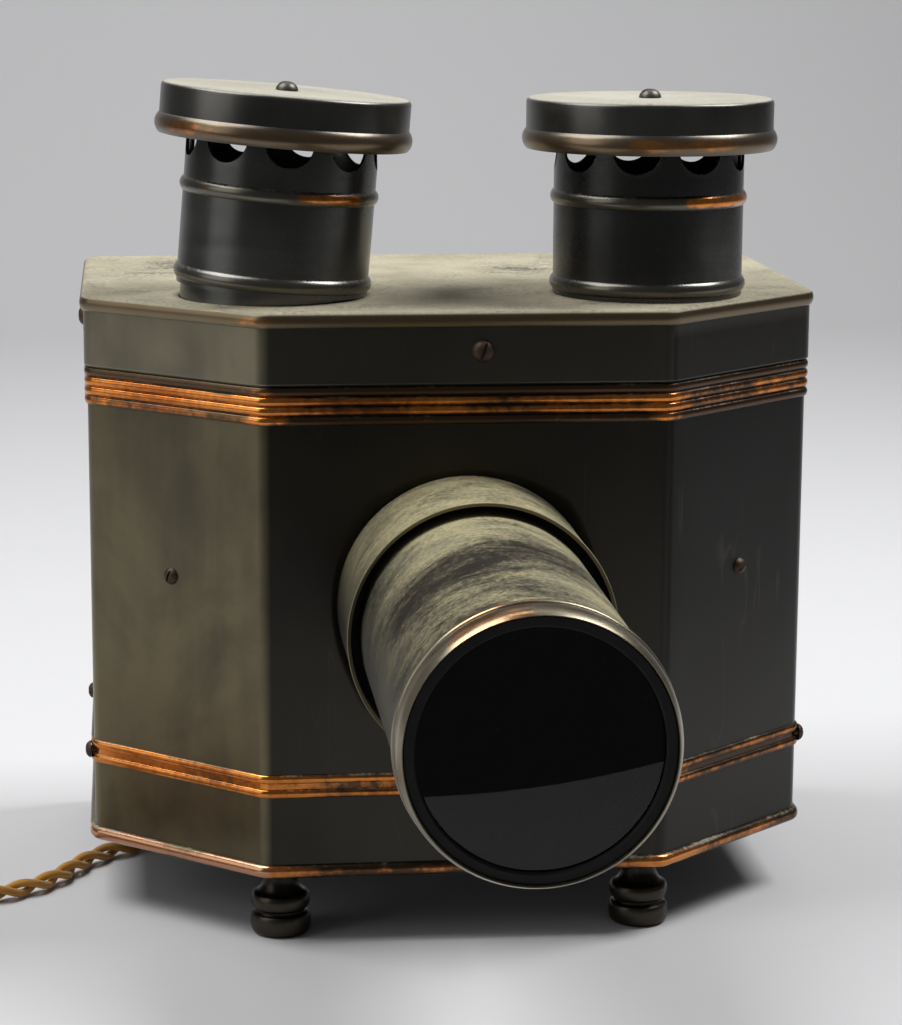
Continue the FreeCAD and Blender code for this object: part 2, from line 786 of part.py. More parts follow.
def bulb_rise(across, up):
    # Bulge of the bulb's crown over its chord, for a ball whose middle is on the bulb's axis.
    across = float(across)
    up = float(up)
    ball = (across * across + up * up) / (2 * up)
    chord = math.hypot(across, up)
    return ball - math.sqrt(max(ball * ball - chord * chord / 4, 0))


def make_reflector(name, side):
    seat = diagonal_point(side, s.reflector_low, -s.wall - s.reflector_gap)
    middle = vec(side * lamp_x, s.lamp_setback, s.reflector_low)
    radius = (seat - middle).Length
    sheet = float(s.reflector_sheet)
    tall = float(s.reflector_tall)
    spread = float(s.reflector_spread)
    out = seat - middle
    start = math.degrees(math.atan2(out.y, out.x)) - spread / 2
    up = vec(0, 0, 1)
    outer = Part.makeCylinder(radius, tall, vec(0, 0), up, spread)
    inner = Part.makeCylinder(radius - sheet, tall, vec(0, 0))
    mirror = outer.cut(inner)
    mirror.Placement = FreeCAD.Placement(middle, about((0, 0, 1), start))
    spot = diagonal_point(side, s.reflector_screw_height)
    mirror = mirror.cut(hole(spot, diagonal_turn(side), shank_hole))
    return keep(name + "_reflector", shaped(name + "_reflector", mirror))


door_back = s.body_depth + s.door_gap
door_face = door_back + s.door_sheet
hinge_y = s.body_depth + s.knuckle_radius + s.knuckle_gap
hinge_low = s.lens_height - s.hinge_tall / 2
leaf_edge = s.hinge_x + s.knuckle_radius + s.knuckle_step


def rail(name, inner, outward):
    # Angle strip that holds one edge of the card: a web on the door and a lip over the card.
    half = s.window_half - s.rail_inset
    front = door_back - s.rail_depth
    edge = inner + s.rail_sheet * outward
    lip_edge = inner - s.rail_tall * outward
    web = block(name + "_web", (-half, front, inner), (half, door_back, edge))
    lip = block(name + "_lip", (-half, front, inner), (half, front + s.rail_sheet, lip_edge))
    return plus(name, web, lip)


def make_door():
    low = s.lens_height - s.door_tall / 2
    high = s.lens_height + s.door_tall / 2
    keep("card_door", block("card_door", (-s.door_half, door_back, low), (s.door_half, door_face, high)))
    lower = rail("lower_rail", s.lens_height - s.card_tall / 2, -1)
    upper = rail("upper_rail", s.lens_height + s.card_tall / 2, 1)
    group = doc.addObject("Part::Compound", "card_rails")
    group.Links = [lower, upper]
    keep("card_rails", group)
    knob = (s.knob_inset - s.door_half, door_face, s.lens_height)
    turned("door_knob", [
        (0, 0), (s.knob_radius * 0.75, 0), (s.knob_radius * 0.5, s.knob_neck / 2),
        (s.knob_radius * 0.5, s.knob_neck), (s.knob_radius, s.knob_neck * 1.5),
        (s.knob_radius, s.knob_length - s.knob_dome),
        (0, s.knob_length, bulge(s.knob_radius, s.knob_dome))], knob, BACKWARD)


def knuckles(name, own):
    # Barrel pieces of one hinge leaf: every second knuckle, bored for the pin.
    step = s.hinge_tall / s.knuckle_count
    pieces = []
    for i in range(int(SIZES["knuckle_count"])):
        if i % 2 != own:
            continue
        low = hinge_low + step * i + s.knuckle_gap / 2
        tall = step - s.knuckle_gap
        barrel = rod("%s_knuckle_%d" % (name, i), s.knuckle_radius, tall, (s.hinge_x, hinge_y, low))
        bore = rod("%s_bore_%d" % (name, i), s.pin_radius + s.pin_gap, tall, (s.hinge_x, hinge_y, low))
        if own:
            web = block("%s_web_%d" % (name, i), (s.door_half, door_face, low),
                        (s.hinge_x, door_face + s.hinge_leaf, low + tall))
        else:
            web = block("%s_web_%d" % (name, i), (s.hinge_x, s.body_depth, low),
                        (leaf_edge, s.body_depth + s.hinge_leaf, low + tall))
        joined_barrel = plus("%s_joined_%d" % (name, i), barrel, web)
        pieces.append(minus("%s_barrel_%d" % (name, i), joined_barrel, bore))
    return pieces


def make_hinge():
    top = hinge_low + s.hinge_tall
    fixed = block("fixed_leaf_plate", (leaf_edge, s.body_depth, hinge_low),
                  (leaf_edge + s.hinge_reach, s.body_depth + s.hinge_leaf, top))
    keep("hinge_fixed_leaf", plus("hinge_fixed_leaf", fixed, *knuckles("fixed", 0)))
    swing = block("door_leaf_plate", (s.door_half - s.hinge_reach, door_face, hinge_low),
                  (s.door_half, door_face + s.hinge_leaf, top))
    keep("hinge_door_leaf", plus("hinge_door_leaf", swing, *knuckles("door", 1)))
    keep("hinge_pin", rod("hinge_pin", s.pin_radius, s.hinge_tall, (s.hinge_x, hinge_y, hinge_low)))
    spots = {"hinge_fixed_rivets": (leaf_edge + s.hinge_reach / 2, s.body_depth + s.hinge_leaf),
             "hinge_door_rivets": (s.door_half - s.hinge_reach / 2, door_face + s.hinge_leaf)}
    for label, (x, y) in spots.items():
        heights = [hinge_low + s.hinge_tall * share for share in (0.12, 0.5, 0.88)]
        heads = [rivet(vec(x, y, height), BACKWARD) for height in heights]
        keep(label, shaped(label, Part.makeCompound(heads)))
    edge = -s.door_half - s.catch_gap
    low = s.lens_height - s.catch_tall / 2
    foot = block("catch_foot", (edge - s.catch_reach, s.body_depth, low),
                 (edge, s.body_depth + s.hinge_leaf, low + s.catch_tall))
    tongue = block("catch_tongue", (edge - s.hinge_leaf, s.body_depth, low),
                   (edge, s.body_depth + s.catch_depth, low + s.catch_tall))
    keep("door_catch", plus("door_catch", foot, tongue))
    rivet_y = s.body_depth + s.hinge_leaf
    heights = (s.lens_height - s.catch_rivet_rise, s.lens_height + s.catch_rivet_rise)
    heads = [rivet(vec(edge - s.catch_rivet, rivet_y, height), BACKWARD) for height in heights]
    keep("catch_rivets", shaped("catch_rivets", Part.makeCompound(heads)))


def foot_spots():
    floor = s.shell_bottom + s.pan_lift + s.pan_plate
    return [vec(x, y, floor) for y in (s.foot_front, foot_back) for x in (-foot_x, foot_x)]


def make_feet():
    top = s.shell_bottom + s.pan_lift
    names = ("front_left_foot", "front_right_foot", "rear_left_foot", "rear_right_foot")
    r = s.foot_radius
    for name, spot in zip(names, foot_spots()):
        x = foot_x if "right" in name else -foot_x
        y = s.foot_front if "front" in name else foot_back
        turned(name, [
            (0, 0), (r, 0), (r, s.foot_drum, 1.2), (r - 1.5, s.foot_drum + 0.8), (r - 1.5, s.foot_groove),
            (r + 0.2, s.foot_groove + 0.6), (r + 0.2, s.foot_ring, 0.8), (s.foot_neck + 0.8, s.foot_ring + 2),
            (s.foot_neck, s.foot_waist), (s.foot_neck, top - s.foot_collar - 0.4),
            (s.foot_neck + s.foot_collar, top - 0.6), (s.foot_neck + s.foot_collar, top), (s.foot_bore, top),
            (s.foot_bore, top - s.foot_bore_deep), (0, top - s.foot_bore_deep)], (x, y, 0))
    sizes = (s.screw_head, s.screw_dome, s.screw_shank, s.foot_screw_length)
    up = about((0, 0, 1), 0)
    solids = [screw(*sizes, spot, up, 30 * i) for i, spot in enumerate(foot_spots())]
    keep("foot_screws", shaped("foot_screws", Part.makeCompound(solids)))


def route_wire(points):
    # Straight runs joined by tangent arcs as large as the runs allow.
    edges = []
    at = points[0]
    radii = []
    for before, corner, after in zip(points, points[1:], points[2:]):
        back = (before - corner).normalize()
        ahead = (after - corner).normalize()
        half = back.getAngle(ahead) / 2
        reach = 0.45 * min((before - corner).Length, (after - corner).Length)
        radius = reach * math.tan(half)
        inward = (back + ahead).normalize()
        start = corner + back * reach
        middle = corner + inward * (radius / math.sin(half) - radius)
        end = corner + ahead * reach
        edges.append(Part.LineSegment(at, start).toShape())
        edges.append(Part.Arc(start, middle, end).toShape())
        radii.append(round(radius, 1))
        at = end
    edges.append(Part.LineSegment(at, points[-1]).toShape())
    return Part.Wire(edges), radii


def tube_along(name, wire, diameter):
    first = wire.OrderedEdges[0]
    start = first.valueAt(first.FirstParameter)
    heading = first.tangentAt(first.FirstParameter)
    ring = Part.Wire(Part.Circle(start, heading, diameter / 2).toShape())
    tube = wire.makePipeShell([ring], True, False)
    expected = math.pi * diameter * diameter / 4 * wire.Length
    print(name, "length", round(wire.Length, 1), "volume ratio", round(tube.Volume / expected, 4))
    return tube


# Hand-chosen centre points of the flex: out of the bushing, across the floor and into the coil.
CORD_ROUTE = [
    (-86.0, 117.0, 28.0), (-86.6, 117.0, 20.0), (-90.5, 116.6, 11.5), (-97.5, 115.6, 5.8),
    (-106.5, 113.6, 3.6), (-117.0, 109.0, 3.4), (-127.0, 101.0, 3.4), (-135.5, 90.0, 3.4),
    (-142.5, 76.0, 3.4), (-151.0, 63.5, 3.5), (-164.0, 55.0, 3.6), (-177.0, 48.5, 3.9),
    (-190.0, 43.5, 4.3), (-204.5, 41.0, 4.55), (-219.5, 41.0, 4.55),
]

# From the end of the coil up to the plug, which lies on the floor.
TAIL_ROUTE = [(0, 0, 0), (-15, 0, 0), (-32, -2.0, 3.0), (-49, -6.0, 5.9), (-66, -11.0, 6.0)]


def make_cord():
    diameter = float(s.cord_diameter)
    points = [vec(*p) for p in CORD_ROUTE]
    wire, radii = route_wire(points)
    print("cord radii", radii)
    keep("cord", shaped("cord", tube_along("cord", wire, diameter)))
    coil, tail_start = coil_wire(points[-1])
    keep("cord_coil", shaped("cord_coil", tube_along("cord_coil", coil, diameter)))
    tail = [tail_start + vec(*offset) for offset in TAIL_ROUTE]
    tail_wire, tail_radii = route_wire(tail)
    print("tail radii", tail_radii)
    keep("cord_tail", shaped("cord_tail", tube_along("cord_tail", tail_wire, diameter)))
    print("cord in all", round(wire.Length + coil.Length + tail_wire.Length, 1))
    make_tie(points[-1])
    make_plug(tail[-1], tail[-1] - tail[-2])


def coil_wire(start):
    # Half turns that shrink in the lower layer, climb while the spiral reverses and grow in the upper one.
    step = float(s.coil_pitch) / 2
    radius = float(s.coil_outer)
    lead = vec(-s.cord_diameter, 0)
    at = start + lead
    edges = [Part.LineSegment(start, at).toShape()]
    way = -1
    for i in range(COIL_IN):
        end = at + vec(0, way * 2 * radius)
        middle = (at + end) * 0.5 + vec(way * radius, 0)
        edges.append(Part.Arc(at, middle, end).toShape())
        at, way, radius = end, -way, radius - step
    end = at + vec(0, way * 2 * radius, s.coil_pitch)
    middle = (at + end) * 0.5 + vec(way * (end - at).Length / 2, 0)
    edges.append(Part.Arc(at, middle, end).toShape())
    at, way, radius = end, -way, radius + step
    for i in range(COIL_OUT):
        end = at + vec(0, way * 2 * radius)
        middle = (at + end) * 0.5 + vec(way * radius, 0)
        edges.append(Part.Arc(at, middle, end).toShape())
        at, way, radius = end, -way, radius + step
    edges.append(Part.LineSegment(at, at + lead).toShape())
    wire = Part.Wire(edges)
    print("coil least gap to itself", round(least_gap(wire), 2))
    return wire, at + lead


def least_gap(wire):
    points = wire.discretize(Distance=4.0)
    skip = int(60 / 4.0)
    least = 1e9
    for i, point in enumerate(points):
        for other in points[i + skip:]:
            least = min(least, (other - point).Length)
    return least - float(s.cord_diameter)


def make_tie(coil_start):
    # Tape round the bundle of turns on the coil's left side.
    sheet = float(s.tie_sheet)
    room = float(s.cord_diameter) / 2 + float(s.tie_gap) + sheet
    outer = float(s.coil_outer) + room
    inner = float(s.coil_outer) - (COIL_IN - 1) * float(s.coil_pitch) / 2 - room
    tall = 2 * float(s.coil_lift) + float(s.cord_diameter) + float(s.coil_pitch)
    width = float(s.tie_width)
    middle = coil_start - vec(s.cord_diameter, s.coil_outer + s.coil_pitch / 2)
    low = vec(middle.x - outer, middle.y - width / 2)
    band = Part.makeBox(outer - inner, width, tall, low)
    hollow = Part.makeBox(outer - inner - 2 * sheet, width + 2, tall - 2 * sheet, low + vec(sheet, -1, sheet))
    keep("cord_tie", shaped("cord_tie", band.cut(hollow)))


def make_plug(spot, heading):
    turn = FreeCAD.Rotation(vec(0, 0, 1), heading)
    r = s.plug_radius
    neck = s.cord_diameter / 2 + 2
    turned("plug_body", [
        (0, 0), (neck, 0), (neck + 0.6, s.plug_neck), (r * 0.72, s.plug_shoulder), (r, s.plug_drum),
        (r, s.plug_length - 1), (r - 1, s.plug_length),
        (0, s.plug_length)], (spot.x, spot.y, spot.z), turn)
    pins = []
    for side in (-1, 1):
        pin = Part.makeCylinder(float(s.plug_pin_radius), float(s.plug_pin_length),
                                vec(0, side * s.plug_pin_spacing / 2, s.plug_length))
        pin.Placement = FreeCAD.Placement(spot, turn)
        pins.append(pin)
    keep("plug_pins", shaped("plug_pins", Part.makeCompound(pins)))


def make_bushing():
    floor = s.shell_bottom + s.pan_lift
    bore = s.cord_diameter / 2 + s.cord_bore_gap
    neck = s.bushing_hole - s.seam
    flange = s.bushing_flange
    below = -s.bushing_below
    above = s.pan_plate + s.bushing_above
    turned("cord_bushing", [
        (bore + s.bushing_mouth, below), (flange - s.bushing_break, below), (flange, below + s.bushing_break),
        (flange, 0), (neck, 0), (neck, s.pan_plate), (flange, s.pan_plate), (flange, above), (bore, above),
        (bore, 0)], (s.bushing_x, s.bushing_y, floor))


# Inner leads from the flex to the two sockets, lying over the pan.
LEFT_LEAD = [
    (-87.7, 117.0, 28.6), (-87.7, 116.0, 35.0), (-86.5, 109.0, 40.5), (-84.0, 98.0, 42.0),
    (-81.0, 85.0, 40.5), (-80.0, 76.0, 38.5), (-80.0, 67.2, 38.0),
]
RIGHT_LEAD = [
    (-84.3, 117.0, 28.6), (-84.3, 118.0, 35.0), (-79.0, 123.0, 40.0), (-66.0, 128.0, 40.0),
    (-40.0, 131.0, 35.0), (0.0, 131.0, 31.0), (38.0, 124.0, 31.5), (62.0, 107.0, 35.0),
    (76.0, 88.0, 38.0), (80.0, 76.0, 38.5), (80.0, 67.2, 38.0),
]


def make_leads():
    tubes = []
    for name, route in (("left lead", LEFT_LEAD), ("right lead", RIGHT_LEAD)):
        wire, radii = route_wire([vec(*point) for point in route])
        print(name, "radii", radii)
        tubes.append(tube_along(name, wire, float(s.lead_diameter)))
    keep("lamp_leads", shaped("lamp_leads", Part.makeCompound(tubes)))


make_shell()
make_pan()
make_lid()
screw_group("lid_screws", lid_screw_spots(), 1.0, (70, 20, 50, 0))
screw_group("base_screws", base_screw_spots(), 0.8, (0, 40, 80))
screw_group("reflector_screws", reflector_screw_spots(), 0.75, (30, 75))
make_lens()
make_chimney("left", left_chimney_x, SIZES["left_lean"], 1.2)
make_chimney("right", right_chimney_x, 0.0, -17.0)
make_lamps()
make_door()
make_hinge()
make_feet()
make_bushing()
make_cord()
make_leads()
doc.recompute()

faults = [item.Name for item in doc.Objects if "Invalid" in item.State or "Error" in item.State]
for label, item in nodes.items():
    if item.Shape.isNull() or not item.Shape.isValid():
        faults.append(label)
if faults:
    raise SystemExit("failed: " + ", ".join(faults))
os.makedirs("parts", exist_ok=True)
for label, item in nodes.items():
    item.Shape.exportStep("parts/" + label + ".step")
print(len(nodes), "pieces written")
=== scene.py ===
import json
import math

import bmesh
import bpy
import numpy as np
from mathutils import Matrix, Vector


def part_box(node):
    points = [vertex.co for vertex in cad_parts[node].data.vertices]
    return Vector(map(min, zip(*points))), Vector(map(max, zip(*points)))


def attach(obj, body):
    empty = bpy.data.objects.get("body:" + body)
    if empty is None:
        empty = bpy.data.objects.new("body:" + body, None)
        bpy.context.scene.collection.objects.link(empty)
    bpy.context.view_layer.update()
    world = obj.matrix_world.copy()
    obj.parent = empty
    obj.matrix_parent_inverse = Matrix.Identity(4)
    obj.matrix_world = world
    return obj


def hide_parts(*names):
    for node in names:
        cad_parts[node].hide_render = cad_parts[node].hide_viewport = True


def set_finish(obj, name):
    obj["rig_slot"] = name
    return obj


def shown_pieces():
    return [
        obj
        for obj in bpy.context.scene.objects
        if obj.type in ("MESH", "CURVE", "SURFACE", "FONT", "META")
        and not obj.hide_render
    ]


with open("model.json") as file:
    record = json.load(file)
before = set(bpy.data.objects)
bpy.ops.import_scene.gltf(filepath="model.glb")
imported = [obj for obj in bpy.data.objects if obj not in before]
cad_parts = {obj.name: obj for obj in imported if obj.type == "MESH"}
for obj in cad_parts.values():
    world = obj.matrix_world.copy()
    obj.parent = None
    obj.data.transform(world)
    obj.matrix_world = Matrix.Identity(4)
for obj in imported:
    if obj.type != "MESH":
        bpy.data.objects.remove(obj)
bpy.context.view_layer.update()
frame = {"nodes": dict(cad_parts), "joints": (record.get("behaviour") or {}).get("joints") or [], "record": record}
nodes = frame["nodes"]
print("frame loaded:", len(nodes), "nodes")


def addObject(name, data):
    made = bpy.data.objects.new(name, data)
    bpy.context.scene.collection.objects.link(made)
    return made


# camera at the photograph's place: metres, radians, and a focal length in pixels of the 902 x 1025 frame
photoCamera = {"place": (-.11359, -.98876, .34988), "yaw": .10871, "pitch": .19469, "roll": -.00528,
               "focalPixels": 2944.09, "frameHeight": 1025, "sensorHeight": 36.0}


def addCamera():
    data = bpy.data.cameras.new("photoCamera")
    data.sensor_fit = "VERTICAL"
    data.sensor_height = photoCamera["sensorHeight"]
    data.lens = photoCamera["focalPixels"] * photoCamera["sensorHeight"] / photoCamera["frameHeight"]
    camera = addObject("photoCamera", data)
    yaw, pitch, roll = (photoCamera[key] for key in ("yaw", "pitch", "roll"))
    ahead = Vector((math.sin(yaw) * math.cos(pitch), math.cos(yaw) * math.cos(pitch), -math.sin(pitch)))
    level = Vector((math.cos(yaw), -math.sin(yaw), 0))
    down = ahead.cross(level)
    across = level * math.cos(roll) + down * math.sin(roll)
    up = level * math.sin(roll) - down * math.cos(roll)
    turn = Matrix((across, up, -ahead)).transposed()
    camera.matrix_world = Matrix.Translation(photoCamera["place"]) @ turn.to_4x4()
    bpy.context.scene.camera = camera


addCamera()
bpy.context.scene.view_settings.view_transform = "Standard"
print("camera set")


# vectors at length 1, one or many
def unit(vectors):
    return vectors / np.linalg.norm(vectors, axis=-1, keepdims=True)


# straight from 0 at the start to 1 a width further on
def ramp(value, start, width):
    return np.clip((value - start) / width, 0, 1)


# eases a share from 0 to 1 in and out
def smooth(share):
    return share * share * (3 - 2 * share)


def roundAngles(count):
    return np.linspace(0, 2 * np.pi, count, endpoint=False)


# a soft window on an angle: 1 between the two limits, in degrees, fading over the soft range
def between(angle, low, high, soft=8):
    degrees = np.degrees(angle) % 360
    return ramp(degrees, low - soft, soft) * ramp(-degrees, -high - soft, soft)


# quads between neighbours of a rows x columns grid of points, wrapping where asked
def gridFaces(rows, columns, wrapRows=False, wrapColumns=False):
    r, c = np.meshgrid(np.arange(rows if wrapRows else rows - 1),
                       np.arange(columns if wrapColumns else columns - 1), indexing="ij")
    r2, c2 = (r + 1) % rows, (c + 1) % columns
    quads = np.stack([r * columns + c, r * columns + c2, r2 * columns + c2, r2 * columns + c], -1)
    return quads.reshape(-1, 4)


def addPointValue(mesh, name, amounts):
    layer = mesh.attributes.new(name, "FLOAT", "POINT")
    layer.data.foreach_set("value", np.broadcast_to(amounts, len(mesh.vertices)).astype(np.float32))


# a mesh object from whole arrays: points, quads and named point values
# outward merges doubles and turns the faces outwards
def addPiece(name, points, faces, values=None, uvs=None, sharpAngle=38, outward=True):
    points = np.asarray(points, float).reshape(-1, 3)
    mesh = bpy.data.meshes.new(name)
    mesh.vertices.add(len(points))
    mesh.vertices.foreach_set("co", points.astype(np.float32).ravel())
    mesh.loops.add(faces.size)
    mesh.loops.foreach_set("vertex_index", faces.astype(np.int32).ravel())
    mesh.polygons.add(len(faces))
    mesh.polygons.foreach_set("loop_start", np.arange(0, faces.size, faces.shape[1], dtype=np.int32))
    mesh.update(calc_edges=True)
    for key, amounts in (values or {}).items():
        addPointValue(mesh, key, amounts)
    if uvs is not None:
        layer = mesh.uv_layers.new(name="strandMap")
        layer.uv.foreach_set("vector", uvs[faces.ravel()].astype(np.float32).ravel())
    if outward:
        work = bmesh.new()
        work.from_mesh(mesh)
        bmesh.ops.remove_doubles(work, verts=work.verts, dist=2e-6)
        bmesh.ops.recalc_face_normals(work, faces=work.faces)
        work.to_mesh(mesh)
        work.free()
    mesh.shade_smooth()
    mesh.set_sharp_from_angle(angle=math.radians(sharpAngle))
    return addObject(name, mesh)


# gives a skin its sheet thickness, inwards
def thicken(piece, sheet, even=True):
    wall = piece.modifiers.new("sheet", "SOLIDIFY")
    wall.thickness = sheet
    wall.offset = -1
    wall.use_even_offset = even


# puts a finished piece on its body, in the place of its CAD nodes, with its finish
def settle(piece, body, slot, replaced=()):
    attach(piece, body)
    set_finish(piece, slot)
    if replaced:
        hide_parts(*replaced)
    return piece


# twisted cloth flex, the same route points as the solid's, in metres
flex = {
    "route": [(-.0860, .1170, .0280), (-.0866, .1170, .0200), (-.0905, .1166, .0115), (-.0975, .1156, .0058),
              (-.1065, .1136, .0036), (-.1170, .1090, .0034), (-.1270, .1010, .0034), (-.1355, .0900, .0034),
              (-.1425, .0760, .0034), (-.1510, .0635, .0035), (-.1640, .0550, .0036), (-.1770, .0485, .0039),
              (-.1900, .0435, .0043), (-.2045, .0410, .00455), (-.2195, .0410, .00455)],
    "tail": [(0, 0, 0), (-.015, 0, 0), (-.032, -.002, .003), (-.049, -.006, .0059), (-.066, -.011, .006)],
    "diameter": .0065, "length": 1.80, "exit": (-.0860, .1170, .0206),
    "coilRadius": .047, "coilPitch": .007, "halfTurnsIn": 7, "halfTurnsOut": 6, "pointsPerHalfTurn": 8,
    "twistPitch": .0260, "strandRadius": .00152, "strandSides": 12, "splineSteps": 14,
    "endLength": .004, "endShare": .02, "mapPerMetre": 100,
}


# half turns in the floor plane, each a run of points on a half circle
# first they shrink inwards, then one climbs, then they grow outwards
def coilPoints(start):
    step, radius, way = flex["coilPitch"] / 2, flex["coilRadius"], -1
    # the spline cuts inside its control points, so they stand out by the swell
    swell = 1 / math.cos(math.pi / flex["pointsPerHalfTurn"] / 2)
    at = np.array(start) - (flex["diameter"], 0, 0)
    points = [at]
    for turn in range(flex["halfTurnsIn"] + 1 + flex["halfTurnsOut"]):
        climb = flex["coilPitch"] if turn == flex["halfTurnsIn"] else 0
        share = np.arange(1, flex["pointsPerHalfTurn"] + 1) / flex["pointsPerHalfTurn"]
        angle = math.pi * share
        middle = at + (0, way * radius, 0)
        reach = np.where(share < 1, radius * swell, radius)
        ring = np.stack([way * reach * np.sin(angle), -way * reach * np.cos(angle), climb * share], -1)
        points.extend(middle + ring)
        at = points[-1]
        way = -way
        radius += -step if turn < flex["halfTurnsIn"] else step
    return points, at - (flex["diameter"], 0, 0)


coilRun, coilEnd = coilPoints(flex["route"][-1])
tailRun = coilEnd + np.array(flex["tail"])
flexPoints = np.vstack([flex["route"], coilRun, tailRun])


# the route's smooth line, read back from a NURBS spline through the control points
def splineLine(points, steps):
    curve = bpy.data.curves.new("flexRoute", "CURVE")
    curve.dimensions = "3D"
    spline = curve.splines.new("NURBS")
    spline.points.add(len(points) - 1)
    controls = np.column_stack([points, np.ones(len(points))])
    spline.points.foreach_set("co", controls.astype(np.float32).ravel())
    spline.order_u = 3
    spline.use_endpoint_u = True
    spline.resolution_u = steps
    holder = addObject("flexRoute", curve)
    mesh = bpy.data.meshes.new_from_object(holder)
    line = np.zeros(len(mesh.vertices) * 3)
    mesh.vertices.foreach_get("co", line)
    bpy.data.objects.remove(holder)
    bpy.data.meshes.remove(mesh)
    line = line.reshape(-1, 3)
    apart = np.linalg.norm(np.diff(line, axis=0), axis=1)
    return line[np.concatenate([[True], apart > 1e-6])]


# unit vectors to the side of a heading and above it
def sideAndAbove(ahead):
    side = unit(np.cross((0, 0, 1), ahead))
    return side, np.cross(ahead, side)


# two strands wound round the line: each centre circles the line once per pitch
def makeFlex():
    line = splineLine(flexPoints, flex["splineSteps"])
    run = np.concatenate([[0], np.cumsum(np.linalg.norm(np.diff(line, axis=0), axis=1))])
    side, above = sideAndAbove(unit(np.gradient(line, axis=0)))
    ends = ramp(np.minimum(run, run[-1] - run), 0, flex["endLength"])    # the strands close at both ends
    size = flex["strandRadius"] * np.maximum(np.sqrt(ends * (2 - ends)), flex["endShare"])
    apart = flex["diameter"] / 2 - flex["strandRadius"]
    around = roundAngles(flex["strandSides"])
    points, faces, uvs = [], [], []
    for half in (0, 1):
        phase = 2 * np.pi * run / flex["twistPitch"] + half * np.pi
        out = side * np.cos(phase)[:, None] + above * np.sin(phase)[:, None]
        centre = line + out * apart
        other = unit(np.cross(unit(np.gradient(centre, axis=0)), out))
        ring = out[:, None] * np.cos(around)[:, None] + other[:, None] * np.sin(around)[:, None]
        points.append((centre[:, None] + size[:, None, None] * ring).reshape(-1, 3))
        faces.append(gridFaces(len(line), len(around), wrapColumns=True) + half * len(points[0]))
        strandMap = np.broadcast_arrays(around / (2 * np.pi), run[:, None] * flex["mapPerMetre"])
        uvs.append(np.stack(strandMap, -1).reshape(-1, 2))
    piece = addPiece("flexStrands", np.vstack(points), np.vstack(faces), uvs=np.vstack(uvs),
                     sharpAngle=80, outward=False)
    settle(piece, "housing", "flex", ("cord", "cord_coil", "cord_tail"))
    return piece, line, run[-1]


flexPiece, flexLine, flexLength = makeFlex()
print("flex made:", round(flexLength, 3), "m")


# a run of a turned outline: one row of radius and height for each point
def outlineRun(radius, height):
    return np.column_stack(np.broadcast_arrays(radius, height))


# a rolled bead on a turned outline: the arc through its two feet and its crown
def beadRun(radius, height, half, rise, steps=11):
    ball = (half * half + rise * rise) / (2 * rise)
    a = np.linspace(-1, 1, steps) * math.asin(half / ball)
    return outlineRun(radius + rise - ball * (1 - np.cos(a)), height + ball * np.sin(a))


# a rounded outer edge on a turned outline: a quarter circle upwards and inwards
def edgeRun(radius, height, size, steps):
    a = np.linspace(0, np.pi / 2, steps)
    return outlineRun(radius - size * (1 - np.cos(a)), height - size * (1 - np.sin(a)))


# a closed turned piece: an outline of radius and height round its section, carried round the axis
# crest, per outline point, marks raised places
# round the piece, copper tells where they wear through and pale how light the metal is made, tone and painted
# light together
def addTurned(name, outline, place, turn, segments, crest=0, copper=0, pale=.35):
    rows, angle = len(outline), roundAngles(segments)
    radius, height = outline[:, :1], outline[:, 1:]
    local = np.stack(np.broadcast_arrays(radius * np.cos(angle), radius * np.sin(angle), height), -1)
    values = {"crest": np.repeat(np.broadcast_to(crest, rows), segments),
              "copper": np.tile(np.broadcast_to(copper, segments), rows),
              "pale": np.tile(np.broadcast_to(pale, segments), rows)}
    faces = gridFaces(rows, segments, wrapRows=True, wrapColumns=True)
    return addPiece(name, local.reshape(-1, 3) @ turn.T + place, faces, values)


upright = np.eye(3)
outOfLens = np.array([[1, 0, 0], [0, 0, -1], [0, 1, 0]], float)      # local up points along -Y
outOfBack = np.array([[1, 0, 0], [0, 0, 1], [0, -1, 0]], float)      # local up points along +Y

# lamp house sheet metal: the plan's six corners, the bands of ridges and the openings
house = {"halfWidth": .130, "frontHalf": .0705, "diagonalDepth": .053, "depth": .180, "cornerRadius": .007,
         "bottom": .024, "rollHalf": .0024, "rollRise": .0020, "ridgeHalf": .0016, "ridgeRise": .0011,
         "lowerRidges": (.0546, .0598), "upperRidges": (.1862, .1896, .1930, .1964), "top": .2223,
         "flats": ((.031, .051, 4), (.0632, .1828, 22), (.2000, .2120, 2)),
         "sheet": .001, "lensHeight": .1215, "portRadius": .0451, "portFrame": .056, "portRings": 6,
         "windowHalf": .073, "windowTall": .096, "arcSteps": 9, "planStep": .006, "edgeFade": .005,
         "wave": .00010, "waveLow": .064, "waveHigh": .182, "waveFade": .02, "portFade": .01, "bandWorn": .68,
         "ridgeWear": ((.024, .034, .054, .060, .184, .1872, .1887, .1939, .1955, .198),
                       (-.02, -.02, .07, .12, -.22, -.18, .10, .12, -.40, -.45))}


